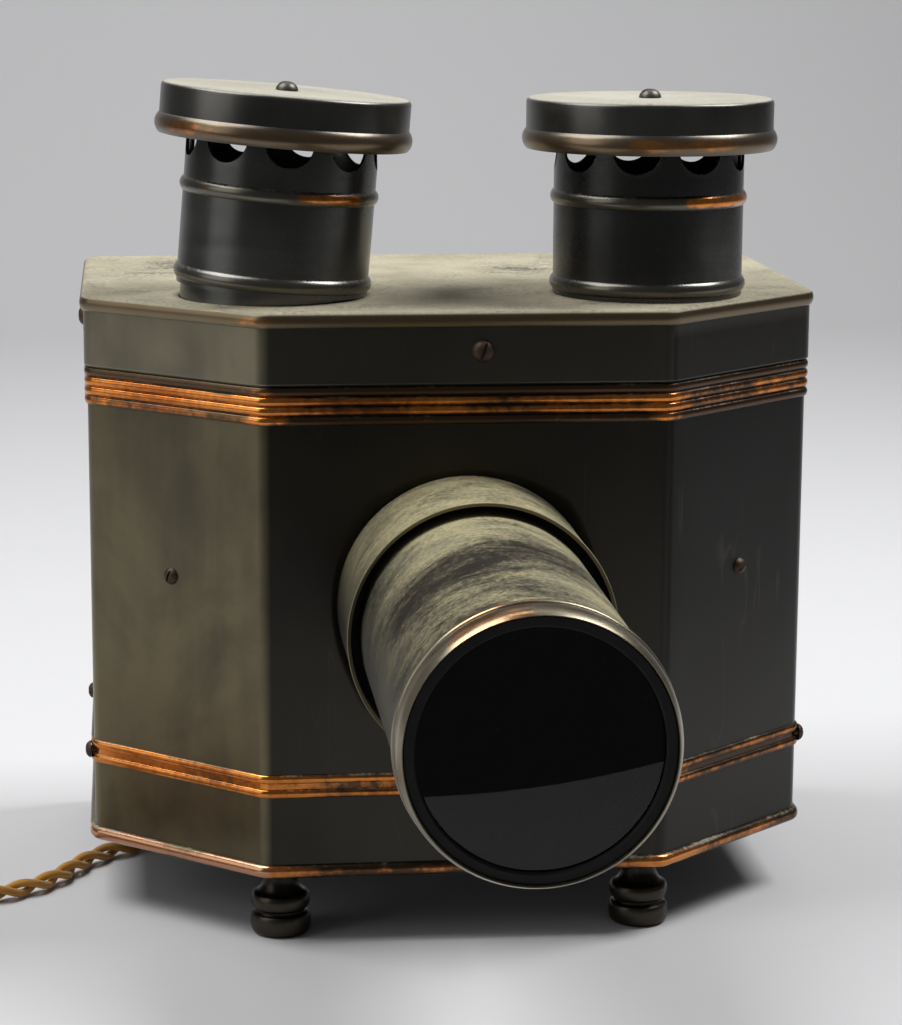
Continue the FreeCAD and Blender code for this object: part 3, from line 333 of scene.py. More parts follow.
# the house seen from above: straight runs between arcs
# gives points, outward normals and nearness to an upright edge
def planLine(breaks):
    w, f, d, deep = (house[k] for k in ("halfWidth", "frontHalf", "diagonalDepth", "depth"))
    r = house["cornerRadius"]
    corners = np.array([(-f, 0), (f, 0), (w, d), (w, deep), (-w, deep), (-w, d)])
    aheads = unit(np.roll(corners, -1, 0) - corners)
    backs = -np.roll(aheads, 1, 0)
    halves = np.arccos(np.clip((backs * aheads).sum(1), -1, 1)) / 2
    points, normals, edge = [], [], []
    for i, (corner, back, ahead, half) in enumerate(zip(corners, backs, aheads, halves)):
        centre = corner + unit(back + ahead) * r / math.sin(half)
        first, last = np.array((-back[1], back[0])), np.array((ahead[1], -ahead[0]))
        begin = math.atan2(first[1], first[0])
        sweep = (math.atan2(last[1], last[0]) - begin) % (2 * math.pi)
        angle = begin + sweep * np.linspace(0, 1, house["arcSteps"])
        normal = np.stack([np.cos(angle), np.sin(angle)], -1)
        points.append(centre + r * normal)
        normals.append(normal)
        edge.append(np.ones(len(angle)))
        j = (i + 1) % len(corners)
        start = corner + ahead * r / math.tan(half)
        end = corners[j] - ahead * r / math.tan(halves[j])
        length = np.linalg.norm(end - start)
        share = np.linspace(0, 1, max(3, int(length / house["planStep"])))
        marks = [(x - start[0]) / (end[0] - start[0]) for x in breaks.get(i, ())]
        share = np.unique(np.concatenate([share, marks]).round(7))[1:-1]
        points.append(start + (end - start) * share[:, None])
        normals.append(np.tile(last, (len(share), 1)))
        edge.append(np.exp(-np.minimum(share, 1 - share) * length / house["edgeFade"]))
    return np.vstack(points), np.vstack(normals), np.concatenate(edge)


# how the panels have aged and where light is painted: painted reflection and shade by where a panel faces, and how
# far its ridges are rubbed bare
agedAndPaintedLight = {"paintedLightWay": (-.75, -.66), "paintedLightFrom": .60, "paintedLightRange": .32, "right": .04, "sides": .18, "back": .25,
        "paintedShade": .60, "paintedShadeFrom": .06, "paintedShadeRange": .06, "rubbed": .47, "rubbedLeft": .33, "leftFrom": .02,
        "leftRange": .09, "rubbedEdge": .30, "edgeReach": .02, "frontDepth": .06, "behind": .36,
        "behindEdge": .15}


# painted reflection and shade: palest towards the left front, darkest on the front and right
def paintedLightBySide(normal):
    x, y = normal.T
    share = smooth(ramp(normal @ np.array(agedAndPaintedLight["paintedLightWay"]), agedAndPaintedLight["paintedLightFrom"], agedAndPaintedLight["paintedLightRange"]))
    floor = agedAndPaintedLight["right"] * (x > .4) + agedAndPaintedLight["sides"] * (np.abs(x) > .9) + agedAndPaintedLight["back"] * (y > .5)
    return np.maximum(share, floor)


# painted shade: the right front panel darkens upwards
def paintedShadeSide(normal, height):
    right = (normal[:, 0] > .4) & (normal[:, 1] < -.4)
    return agedAndPaintedLight["paintedShade"] * ramp(height[:, None], agedAndPaintedLight["paintedShadeFrom"], agedAndPaintedLight["paintedShadeRange"]) * right


# ridges are rubbed most at the front corners and the left, least behind
def planWear(plan, edge):
    x, y = plan.T
    left = ramp(-x, agedAndPaintedLight["leftFrom"], agedAndPaintedLight["leftRange"])
    corner = edge * np.exp(-(y / agedAndPaintedLight["edgeReach"]) ** 2)
    front = agedAndPaintedLight["rubbed"] + agedAndPaintedLight["rubbedLeft"] * left + agedAndPaintedLight["rubbedEdge"] * corner
    return np.where(y < agedAndPaintedLight["frontDepth"], front, agedAndPaintedLight["behind"] + agedAndPaintedLight["behindEdge"] * edge)


# stations up the wall: how far it stands out, its height, and how worn it is there
def wallRows(beads, flats):
    rows = [np.column_stack([0 * flats, flats, 0 * flats])]
    a = np.linspace(0, np.pi, 11)
    for height, half, rise in beads:
        rows.append(np.column_stack([rise * np.sin(a), height - half * np.cos(a), np.sin(a)]))
    rows = np.vstack(rows)
    return rows[np.argsort(rows[:, 1], kind="stable")]


# a wall on the plan that stands out by grow, row by row at its height
def wallPoints(plan, normal, grow, height):
    flat = plan[None] + normal[None] * grow[:, :, None]
    return np.dstack([flat, np.broadcast_to(height[:, None], flat.shape[:2])])


# slow waves of the sheet: sines along it, up it and on the slant, the first two bent by slower sines
def sheetWave(u, v, mask):
    wave = np.sin(u * 41 + 1.3 * np.sin(v * 29)) + .8 * np.sin(v * 53 + 2.1 * np.sin(u * 23 + .7))
    return house["wave"] * (wave + .5 * np.sin(u * 97 + v * 71)) * mask


# a flat sheet between a loop of points and a round hole: rays from the hole's edge, at the loop's own angles
def sheetWithHole(loop, hole, radius, rings):
    away = loop - hole
    angle = np.arctan2(away[:, 1], away[:, 0])
    rim = hole + radius * np.stack([np.cos(angle), np.sin(angle)], -1)
    t = np.linspace(0, 1, rings)[:, None, None]
    return rim * (1 - t) + loop * t, gridFaces(rings, len(loop), wrapColumns=True)


# a wall's point values, carried on over the extra points behind its own
def carriedOn(values, extra, **fill):
    return {key: np.append(amounts, np.full(extra, fill.get(key, 0.0))) for key, amounts in values.items()}


# lamp house: each row is the plan, moved out by the row's bead and by the sheet's waves
# a flat sheet round the lens port fills the square that is left open in front
def makeHouseSkin():
    port, window, middle = house["portFrame"], house["windowHalf"], house["lensHeight"]
    plan, normal, edge = planLine({0: (-port, port), 3: (-window, window)})
    windowLow, windowHigh = middle - house["windowTall"] / 2, middle + house["windowTall"] / 2
    breaks = (house["top"], middle - port, middle + port, windowLow, windowHigh)
    flats = np.concatenate([np.linspace(*span) for span in house["flats"]] + [breaks])
    ridges = house["lowerRidges"] + house["upperRidges"]
    beads = [(house["bottom"] + house["rollHalf"], house["rollHalf"], house["rollRise"])]
    beads += [(z, house["ridgeHalf"], house["ridgeRise"]) for z in ridges]
    rows = wallRows(beads, flats)
    out, height, worn = rows.T
    fade = house["waveFade"]
    calm = ramp(height, house["waveLow"], fade) * ramp(-height, -house["waveHigh"], fade)
    near = np.maximum(np.abs(plan[:, 0])[None, :] - port, np.abs(height - middle)[:, None] - port)
    mask = calm[:, None] * (1 - edge)[None, :] * ramp(near, 0, house["portFade"])
    run = np.arange(len(plan)) * house["planStep"]
    grow = out[:, None] + sheetWave(run[None, :], height[:, None], mask)
    points = wallPoints(plan, normal, grow, height).reshape(-1, 3)
    faces = gridFaces(len(rows), len(plan), wrapColumns=True)
    x, y, z = points[faces].mean(1).T
    inFront = y < house["depth"] / 2
    inPort = inFront & (np.abs(x) < port) & (np.abs(z - middle) < port)
    inWindow = ~inFront & (np.abs(x) < window) & (z > windowLow) & (z < windowHigh)
    faces = faces[~(inPort | inWindow)]
    side = plan[(plan[:, 1] < 1e-5) & (np.abs(plan[:, 0]) < port + 1e-6), 0]
    rise = np.unique(height[np.abs(height - middle) < port + 1e-6])
    loop = [(x, rise[0]) for x in side[:-1]] + [(side[-1], z) for z in rise[:-1]]
    loop += [(x, rise[-1]) for x in side[:0:-1]] + [(side[0], z) for z in rise[:0:-1]]
    hole = np.array((0, middle))
    sheet, sheetFaces = sheetWithHole(np.array(loop), hole, house["portRadius"], house["portRings"])
    front = np.dstack([sheet[..., 0], np.zeros(sheet.shape[:2]), sheet[..., 1]]).reshape(-1, 3)
    for band in (house["lowerRidges"], house["upperRidges"]):
        worn = np.maximum(worn, house["bandWorn"] * ((height > band[0]) & (height < band[-1])))
    ridge = np.interp(height, *house["ridgeWear"])
    # crest and copper are wear; pale and dim are painted reflection and shade by where each panel faces, the front
    # sheet taking the front's value
    values = {"crest": np.repeat(worn, len(plan)),
              "copper": np.clip(planWear(plan, edge)[None, :] + ridge[:, None], 0, 1),
              "pale": np.tile(paintedLightBySide(normal), len(rows)), "paintedShade": paintedShadeSide(normal, height)}
    values = carriedOn(values, len(front), pale=paintedLightBySide(np.array([(0, -1)]))[0])
    faces = np.vstack([faces, sheetFaces + len(points)])
    piece = addPiece("lampHouseSkin", np.vstack([points, front]), faces, values)
    thicken(piece, house["sheet"])
    return settle(piece, "housing", "shell", ("body_shell",))


lid = {"out": .00105, "skirtBottom": .1986, "hem": .0005, "flats": (.2020, .2172, 5), "rimHeight": .2206,
       "rimHalf": .0026, "rimRise": .0013, "top": .2235, "edge": ((-.0002, -.00015, .6), (-.0006, 0, .3)),
       "sheet": .00095, "holeRadius": .0330, "rings": 12, "sag": .0004, "split": .0028, "seamPoints": 15,
       "chimneys": ((-.0645, .050), (.0700, .050)), "rubbed": .12, "rubbedEdge": .12, "rubbedLeft": .16,
       "leftAt": -.075, "leftReach": .03, "frontDepth": .03, "paintedShadeBelow": .217}


# lid: skirt and rim follow the plan
# the top is two flat sheets, each round a chimney's hole, that meet on one line
def makeLid():
    split, bottom = lid["split"], lid["skirtBottom"]
    plan, normal, edge = planLine({0: (split,), 3: (split,)})
    flats = np.concatenate([(bottom, bottom + lid["hem"]), np.linspace(*lid["flats"])])
    rows = wallRows([(lid["rimHeight"], lid["rimHalf"], lid["rimRise"])], flats)
    rows = np.vstack([rows, np.array(lid["edge"]) + (0, lid["top"], 0)])
    out, height, worn = rows.T
    skirt = wallPoints(plan, normal, out[:, None] + lid["out"], height)
    rim = skirt[-1, :, :2]
    points, quads = [skirt.reshape(-1, 3)], [gridFaces(len(rows), len(plan), wrapColumns=True)]
    onSplit = np.flatnonzero(np.abs(rim[:, 0] - split) < 1e-6)
    first, last = onSplit[np.argsort(rim[onSplit, 1])][[0, -1]]
    seam = [(split, y) for y in np.linspace(rim[first, 1], rim[last, 1], lid["seamPoints"])][1:-1]
    halves = ((last, first, seam), (first, last, seam[::-1]))
    for (begin, end, line), centre in zip(halves, lid["chimneys"]):
        half = rim[(begin + np.arange((end - begin) % len(rim) + 1)) % len(rim)]
        loop = np.vstack([half, line])
        sheet, sheetFaces = sheetWithHole(loop, np.array(centre), lid["holeRadius"], lid["rings"])
        sag = lid["sag"] * np.sin(np.linspace(0, np.pi, lid["rings"]))[:, None] * np.ones(len(loop))
        quads.append(sheetFaces + sum(map(len, points)))
        points.append(np.dstack([sheet, lid["top"] - sag]).reshape(-1, 3))
    left = np.exp(-((plan[:, 0] - lid["leftAt"]) / lid["leftReach"]) ** 2) * (plan[:, 1] < lid["frontDepth"])
    rubbed = lid["rubbed"] + lid["rubbedLeft"] * left + lid["rubbedEdge"] * edge
    # pale and dim are painted reflection and shade on the skirt by where it faces; the right front darkens below
    # the rim
    values = {"crest": np.repeat(worn, len(plan)), "copper": np.tile(rubbed, len(rows)),
              "pale": np.tile(paintedLightBySide(normal), len(rows)),
              "paintedShade": paintedShadeSide(normal, height) * (height < lid["paintedShadeBelow"])[:, None]}
    values = carriedOn(values, sum(map(len, points[1:])))
    piece = addPiece("skirtedLid", np.vstack(points), np.vstack(quads), values)
    thicken(piece, lid["sheet"])
    return settle(piece, "housing", "shell", ("lid",))


makeHouseSkin()
makeLid()
print("lamp house skin and lid made")

# chimney tube, heights above the lid; patches are angles in degrees
chimney = {"radius": .0338, "wall": .001, "height": .054, "spigot": .0322, "spigotLength": .009,
           "gap": .00005, "baseBead": .004, "midBead": .0345, "beadHalf": .0025, "beadRise": .00125,
           "plain": (.011, .018, .025), "upper": (.25, .5, .75, .97, 1), "inside": (1, .97, .5, 0),
           "vents": 9, "ventRadius": .0086, "ventHeight": .053, "ventPhase": {"left": 1.2, "right": -17.0},
           "ventSteps": 25, "pillarSteps": 5, "ventNudge": 1e-5, "ventEdge": .0002, "ventWorn": .35,
           "rubbed": .20, "rubbedLow": .02, "rubbedHigh": .04,
           "copper": .55, "copperPatch": {"left": (278, 318), "right": (285, 345)},
           # painted reflection: the left chimney is made much paler than the right
           "pale": {"left": .85, "right": .35}, "dullShare": .6, "dullTop": .034, "dullFade": .02,
           "dullPatch": {"left": (195, 255, 25), "right": (295, 325, 25)}}


# where a chimney stands: its foot on the lid and its lean, read from the joint that lifts it
def chimneyStand(side):
    joint = next(j for j in frame["joints"] if j["name"] == side + "_chimney_lift")
    up = np.array(joint["axis"], float)
    lean = math.atan2(up[0], up[2])
    x, y = lid["chimneys"][0 if side == "left" else 1]
    lift = chimney["radius"] * math.sin(lean) + (chimney["gap"] if lean > 1e-4 else 0)
    turn = np.array([[math.cos(lean), 0, math.sin(lean)], [0, 1, 0], [-math.sin(lean), 0, math.cos(lean)]])
    return np.array((x, y, lid["top"] + lift)), turn


# upper edge of the tube at each angle: its full height, cut down by half-round vents as seen square on
def ventEdge(angle, radius, phase):
    pitch = 2 * np.pi / chimney["vents"]
    away = (angle - phase + pitch / 2) % pitch - pitch / 2
    across = radius * np.sin(away)
    drop = np.sqrt(np.clip(chimney["ventRadius"] ** 2 - across ** 2, 0, None))
    return np.where(np.abs(across) < chimney["ventRadius"], chimney["ventHeight"] - drop, chimney["height"])


# angles round the tube, close together where a vent's edge is steep
def ventAngles(phase, radius):
    pitch = 2 * np.pi / chimney["vents"]
    half = math.asin(chimney["ventRadius"] / radius)
    inside, outside = half * (1 - chimney["ventNudge"]), half * (1 + chimney["ventNudge"])
    arc = inside * np.sin(np.linspace(-np.pi / 2, np.pi / 2, chimney["ventSteps"]))
    pillar = np.linspace(outside, pitch - outside, chimney["pillarSteps"])
    one = np.concatenate([arc, pillar])
    return (phase + pitch * np.arange(chimney["vents"])[:, None] + one).ravel()


# chimney: rows of one radius each, whose heights follow the vents' edge higher up
# they run up the outside, down the inside and round the spigot
def makeChimney(side):
    place, turn = chimneyStand(side)
    phase = math.radians(chimney["ventPhase"][side]) - math.pi / 2
    outer, spigot, wall = chimney["radius"], chimney["spigot"], chimney["wall"]
    inner, spigotIn, spigotEnd = outer - wall, spigot - wall, -chimney["spigotLength"]
    half, rise, trim = chimney["beadHalf"], chimney["beadRise"], chimney["ventEdge"]
    angle = ventAngles(phase, outer)
    top = ventEdge(angle, outer, phase)
    beads = [beadRun(outer, chimney[bead], half, rise) for bead in ("baseBead", "midBead")]
    bend = np.vstack([[(outer, 0)], beads[0], outlineRun(outer, chimney["plain"]), beads[1]])
    tail = [(inner, wall), (spigotIn, wall), (spigotIn, spigotEnd), (spigot, spigotEnd), (spigot, 0)]
    tail = np.array(tail)
    up, down = np.array(chimney["upper"]), np.array(chimney["inside"])
    radius = [bend[:, 0], outer - trim * (up == 1), inner + trim * (down == 1), tail[:, 0]]
    radius = np.concatenate(radius)[:, None]
    start, share = bend[-1, 1], np.concatenate([up, down])[:, None]
    height = np.vstack([bend[:, 1:] + 0 * top, start + (top - start) * share, tail[:, 1:] + 0 * top])
    worn = [np.maximum(0, (bend[:, 0] - outer) / rise), chimney["ventWorn"] * (up > .9)]
    worn = np.concatenate([*worn, np.zeros(len(down) + len(tail))])
    local = np.stack(np.broadcast_arrays(radius * np.cos(angle), radius * np.sin(angle), height), -1)
    faces = gridFaces(len(radius), len(angle), wrapRows=True, wrapColumns=True)
    patch = chimney["rubbed"] + chimney["copper"] * between(angle, *chimney["copperPatch"][side])
    rubbed = np.where((height > chimney["rubbedLow"]) & (height < chimney["rubbedHigh"]), patch, 0)
    lower = ramp(-height, -chimney["dullTop"], chimney["dullFade"])
    dull = lower * between(angle, *chimney["dullPatch"][side])
    # pale paints the chimney's reflection, raised further by the paler patch low down
    values = {"crest": np.repeat(worn, len(angle)), "copper": rubbed.ravel(),
              "pale": (chimney["pale"][side] + chimney["dullShare"] * dull).ravel()}
    piece = addPiece(side + "ChimneyTube", local.reshape(-1, 3) @ turn.T + place, faces, values)
    return settle(piece, side + "_flue_stack", "shell", (side + "_chimney",))


cap = {"radius": .0439, "wall": .0012, "bottom": .0515, "top": .0693, "roll": .007, "rollRise": .0014,
       "edge": .0018, "dish": .00025, "flat": (.036, .028, .020, .012, .006, .0017), "inEdge": .001,
       "curl": .0005, "curlHeight": .0004, "copper": .25, "patchCopper": .25, "pale": .7, "segments": 160,
       "patch": {"left": (180, 218, 14), "right": (258, 290, 14)}}


# spun cap: flat top with a soft edge, straight wall and a rolled bead above an inward curl
def makeCap(side):
    place, turn = chimneyStand(side)
    r, low, top, rise = (cap[k] for k in ("radius", "bottom", "top", "rollRise"))
    inner, ceiling, half = r - cap["wall"], top - cap["wall"], cap["roll"] / 2
    flat = np.array(cap["flat"])
    under = [(flat[-1], ceiling), (inner - cap["inEdge"], ceiling), (inner, ceiling - cap["inEdge"])]
    curl = [(inner, low + cap["curlHeight"]), (inner + cap["curl"], low)]
    wallRun = np.vstack([beadRun(r, low + half, half, rise, 15), edgeRun(r, top, cap["edge"], 7)])
    outline = np.vstack([under, curl, wallRun, outlineRun(flat, top - cap["dish"] * (1 - flat / r))])
    crest = ramp(outline[:, 0], r, rise)
    copper = cap["copper"] + cap["patchCopper"] * between(roundAngles(cap["segments"]), *cap["patch"][side])
    piece = addTurned(side + "CapSpun", outline, place, turn, cap["segments"], crest, copper, cap["pale"])
    return settle(piece, side + "_flue_stack", "shell", (side + "_cap",))


for side in ("left", "right"):
    makeChimney(side)
    makeCap(side)
print("chimneys and caps made")

# lens pieces along the lens axis, from the front wall outwards
lensParts = {"tubeRadius": .0406, "tubeWall": .0009, "tubeFront": .1888, "tubeTail": .008, "tubeRows": 60,
             "glassFront": .1848, "glassEdge": .0396, "ringIn": .0364, "segments": 160}
lensPlace = np.array((0, 0, house["lensHeight"]))


# a lens piece's points, from the lens axis
def pointsOf(piece):
    spot = np.zeros(len(piece.data.vertices) * 3)
    piece.data.vertices.foreach_get("co", spot)
    return (spot.reshape(-1, 3) - lensPlace).T


collar = {"radius": .045, "length": .050, "flange": .005, "sheet": .001,
          "plain": (.004, .014, .024, .034, .044), "lip": .0003, "lipLength": .0011, "lipIn": .0003,
          "crestFrom": .0014, "crestRange": .001,
          "handled": .55, "handledPatch": (38, 62, 14), "handledFrom": -.040, "handledRange": .015}


# sheet collar: flange inside the wall, straight tube and a front edge curled slightly outwards
def makeCollar():
    outer, front, sheet, lip = (collar[k] for k in ("radius", "length", "sheet", "lipLength"))
    inner, flange = outer - sheet, outer + collar["flange"]
    base = [(inner, -2 * sheet), (flange, -2 * sheet), (flange, -sheet), (outer, -sheet)]
    a = np.linspace(0, np.pi, 7)
    curl = outlineRun(outer + collar["lip"] * np.sin(a), front - lip + lip * (1 - np.cos(a)) / 2)
    outline = np.vstack([base, outlineRun(outer, collar["plain"]), curl, [(inner, front - collar["lipIn"])]])
    crest = ramp(outline[:, 1], front - collar["crestFrom"], collar["crestRange"])
    piece = addTurned("lensCollarSheet", outline, lensPlace, outOfLens, lensParts["segments"], crest)
    x, y, z = pointsOf(piece)
    along = ramp(y, collar["handledFrom"], collar["handledRange"])
    handled = collar["handled"] * between(np.arctan2(z, x), *collar["handledPatch"]) * along
    addPointValue(piece.data, "handled", handled)
    return settle(piece, "housing", "tube", ("lens_collar",))


# where handling has rubbed the dust off the tube: a band across its top, its left side and its front end
rubs = {"bandAt": -.108, "bandSkew": .25, "bandReach": .024, "bandUp": (.004, .02), "bandLeft": (-.040, .02),
        "left": .30, "leftFrom": (.020, .016), "front": .55, "frontFrom": (.126, .02),
        "frontLeft": (-.024, .03)}


# drawn tube: a straight line out and another back, turned; then the handled places, by their distance
def makeTube():
    r = lensParts["tubeRadius"]
    z = np.linspace(-lensParts["tubeTail"], lensParts["tubeFront"], lensParts["tubeRows"])
    outline = np.vstack([outlineRun(r, z), outlineRun(r - lensParts["tubeWall"], z[::-1])])
    piece = addTurned("lensTubeDrawn", outline, lensPlace, outOfLens, lensParts["segments"])
    x, y, z = pointsOf(piece)
    band = np.exp(-((y - rubs["bandAt"] - x * rubs["bandSkew"]) / rubs["bandReach"]) ** 2)
    band = band * ramp(z, *rubs["bandUp"]) * ramp(-x, *rubs["bandLeft"])
    front = rubs["front"] * ramp(-y, *rubs["frontFrom"]) * ramp(-x, *rubs["frontLeft"])
    left = rubs["left"] * ramp(-x, *rubs["leftFrom"])
    addPointValue(piece.data, "handled", np.maximum(np.maximum(band, left), front))
    return settle(piece, "lens", "tube", ("lens_tube",))


bezel = {"radius": .0416, "back": .1775, "front": .190, "bead": .0026, "beadRise": .0007, "beadIn": .0001,
         "plain": (.0033, .0050), "taper": .0052, "drop": .0015, "lip": .0003, "slip": .00005, "seat": .00002,
         "lipIn": .0001, "wornFrom": .004, "worn": .55, "copper": .30, "patchCopper": .60,
         "copperPatch": (96, 124, 16), "pale": .25, "paintedHighlightAmount": .55, "paintedHighlightAngles": (138, 172, 20),
         "segments": 192}


# bezel: thin bead behind, straight band, and a front that rounds in by the square of the way along it
def makeBezel():
    r, back, front, half = bezel["radius"], bezel["back"], bezel["front"], bezel["bead"] / 2
    inner, seat = lensParts["tubeRadius"] + bezel["slip"], lensParts["tubeFront"] + bezel["seat"]
    lipIn = lensParts["tubeRadius"] - lensParts["tubeWall"] + bezel["lipIn"]
    bead = beadRun(r - bezel["beadIn"], back + half, half, bezel["beadRise"])
    t = np.linspace(0, 1, 12)
    nose = outlineRun(r - bezel["drop"] * t * t, front - bezel["taper"] * (1 - t))
    lip = [(lipIn, front - bezel["lip"]), (lipIn, seat), (inner, seat)]
    outline = np.vstack([[(inner, back)], bead, outlineRun(r, back + np.array(bezel["plain"])), nose, lip])
    worn = bezel["worn"] * (outline[:, 1] > back + bezel["wornFrom"])
    crest = np.maximum(ramp(outline[:, 0], r, bezel["beadRise"]), worn)
    angle = roundAngles(bezel["segments"])
    copper = bezel["copper"] + bezel["patchCopper"] * between(angle, *bezel["copperPatch"])
    # painted highlight: the band is made paler on its upper left, where the lamp's highlight falls, and darker
    # over the top and right
    pale = bezel["pale"] + bezel["paintedHighlightAmount"] * between(angle, *bezel["paintedHighlightAngles"])
    piece = addTurned("lensBezelBand", outline, lensPlace, outOfLens, bezel["segments"], crest, copper, pale)
    return settle(piece, "lens", "bezel", ("lens_bezel",))


retainer = {"thick": .004, "edge": .0003, "inBack": .0002, "inFront": .0004, "thread": .00012, "turns": 22,
            "threadFrom": .0004, "threadTo": .0006, "segments": 128}


# retaining ring with fine threads: small steps of the radius along the inside
def makeRetainer():
    low, out, inner = lensParts["glassFront"], lensParts["glassEdge"], lensParts["ringIn"]
    high, edge, turns = low + retainer["thick"], retainer["edge"], retainer["turns"]
    z = np.linspace(low + retainer["threadFrom"], high - retainer["threadTo"], turns)
    inside = outlineRun(inner + retainer["thread"] * np.cos(np.arange(turns) * np.pi), z)[::-1]
    outside = [(inner + retainer["inBack"], low), (out, low), (out, high - edge), (out - edge, high)]
    outline = np.vstack([outside, [(inner + retainer["inFront"], high)], inside])
    piece = addTurned("lensRetainer", outline, lensPlace, outOfLens, retainer["segments"])
    return settle(piece, "lens", "blackened", ("front_ring",))


glass = {"rim": .1872, "bulge": .0024, "thick": .005, "edge": .0003, "gap": .0002, "rings": 28}


# front glass: flat back, a flange under the ring, and a face on a ball of the radius that its bulge gives
def makeGlass():
    out, front, bulge, edge = lensParts["glassEdge"], lensParts["glassFront"], glass["bulge"], glass["edge"]
    back, reach = front - glass["thick"], lensParts["ringIn"] - glass["gap"]
    ball = (reach ** 2 + bulge ** 2) / (2 * bulge)
    r = np.linspace(reach, 0, glass["rings"])
    dome = outlineRun(r, glass["rim"] + np.sqrt(ball ** 2 - r ** 2) - ball + bulge)
    flat = [(0, back), (out * .5, back), (out - edge, back)]
    flange = [(out, back + edge), (out, front), (reach, front)]
    outline = np.vstack([flat, flange, dome])
    piece = addTurned("lensGlass", outline, lensPlace, outOfLens, lensParts["segments"])
    return settle(piece, "lens", "lens_glass", ("front_lens",))


makeCollar()
makeTube()
makeBezel()
makeRetainer()
makeGlass()
print("lens made")

# turned feet: drum and ring are (height, half height, swell), the waist (height, length, flare)
foot = {"radius": .0096, "neck": .0062, "top": .0246, "hole": .0021, "holeEnd": .0130,
        "bottom": ((-.0012, 0), (-.0003, .0003)), "drum": (.0042, .0034, .0011),
        "groove": ((-.0007, .0080), (-.0009, .0084), (-.0008, .0090)), "ring": (.0122, .0029, .0015),
        "ringIn": .0006, "waist": (.0153, .0050, .0022), "segments": 64, "crestIn": .0002, "crestRange": .001,
        "collar": ((0, -.0022), (.0012, -.0012), (.0014, -.0006), (.0014, 0)),
        "names": ("front_left", "front_right", "rear_left", "rear_right")}


# a foot: the drum and the ring swell as sines, the waist flares as a square
def makeFoot(name):
    low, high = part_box(name + "_foot")
    r, neck, top, hole = (foot[k] for k in ("radius", "neck", "top", "hole"))
    bottom = np.vstack([[(0, foot["holeEnd"]), (0, 0)], np.array(foot["bottom"]) + (r, 0)])
    at, half, swell = foot["drum"]
    a = np.linspace(.15, np.pi, 13)
    drum = outlineRun(r + swell * np.sin(a) ** .8, at - half * np.cos(a))
    groove = np.array(foot["groove"]) + (r, 0)
    at, half, swell = foot["ring"]
    a = np.linspace(0, np.pi, 13)
    ring = outlineRun(r - foot["ringIn"] + swell * np.sin(a), at - half * np.cos(a))
    at, long, flare = foot["waist"]
    t = np.linspace(.1, 1, 8)
    waist = outlineRun(neck + flare * (1 - t) ** 2, at + long * t)
    head = np.vstack([np.array(foot["collar"]) + (neck, top), [(hole, top), (hole, foot["holeEnd"])]])
    outline = np.vstack([bottom, drum, groove, ring, waist, head])
    crest = ramp(outline[:, 0], r - foot["crestIn"], foot["crestRange"])
    place = ((low.x + high.x) / 2, (low.y + high.y) / 2, 0)
    piece = addTurned(name + "FootTurned", outline, place, upright, foot["segments"], crest)
    return settle(piece, "housing", "foot_brass", (name + "_foot",))


for name in foot["names"]:
    makeFoot(name)

# tape round the coil: a rounded band in the upright plane, carried across its width and slightly creased
tie = {"roundness": 5.0, "sheet": .0006, "columns": 9, "around": 96, "crease": .012, "creases": 7, "slant": 2}


def makeTie():
    low, high = (np.array(c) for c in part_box("cord_tie"))
    centre, half = (low + high) / 2, (high - low) / 2
    angle = roundAngles(tie["around"])
    power = 2 / tie["roundness"]
    x = np.sign(np.cos(angle)) * np.abs(np.cos(angle)) ** power
    z = np.sign(np.sin(angle)) * np.abs(np.sin(angle)) ** power
    share = np.linspace(-1, 1, tie["columns"])[:, None]
    crease = 1 - tie["crease"] * (1 + np.sin(angle * tie["creases"] + share * tie["slant"]))
    points = centre + half * np.stack([x * crease, share + 0 * x, z * crease], -1)
    piece = addPiece("flexTie", points, gridFaces(tie["columns"], tie["around"], wrapColumns=True))
    thicken(piece, tie["sheet"])
    return settle(piece, "housing", "tape", ("cord_tie",))


# round two-pin plug: flex sleeve with grip rings, shoulder and reeded drum, turned about the flex's last run
plug = {"radius": .0175, "neck": .00525, "length": .034, "mouth": .0004, "sleeve": .008, "grip": .0004,
        "grips": 5, "flare": .0006, "shoulder": .0145, "drumFrom": .0228, "drum": .0080, "reed": .0003,
        "reeds": 6, "edge": .0012, "face": ((.0132, 0), (.0130, -.0004), (.0100, -.0004), (0, -.0004)),
        "segments": 72}


def plugTurn():
    ahead = unit(tailRun[-1] - tailRun[-2])
    return np.column_stack([*sideAndAbove(ahead), ahead])


def makePlug():
    r, neck, end, sleeve = (plug[k] for k in ("radius", "neck", "length", "sleeve"))
    throat = neck + plug["flare"]
    t = np.linspace(0, 1, 26)
    grip = plug["grip"] * np.sin(t * plug["grips"] * np.pi) ** 2
    gripped = outlineRun(neck + grip + plug["flare"] * t, sleeve * t)
    t = np.linspace(.05, 1, 18)
    swell = (r - throat) * (.5 - .5 * np.cos(np.pi * t))
    shoulder = outlineRun(throat + swell, sleeve + plug["shoulder"] * t)
    t = np.linspace(0, 1, 20)
    reed = plug["reed"] * np.sin(t * plug["reeds"] * np.pi) ** 2
    drum = outlineRun(r + reed - plug["reed"], plug["drumFrom"] + plug["drum"] * t)
    front = np.vstack([edgeRun(r, end, plug["edge"], 5), np.array(plug["face"]) + (0, end)])
    outline = np.vstack([[(0, 0), (neck - plug["mouth"], 0)], gripped, shoulder, drum, front])
    piece = addTurned("plugMoulding", outline, tailRun[-1], plugTurn(), plug["segments"])
    return settle(piece, "housing", "plug_brown", ("plug_body",))


tiePiece = makeTie()
plugPiece = makePlug()
print("feet, tie and plug made")

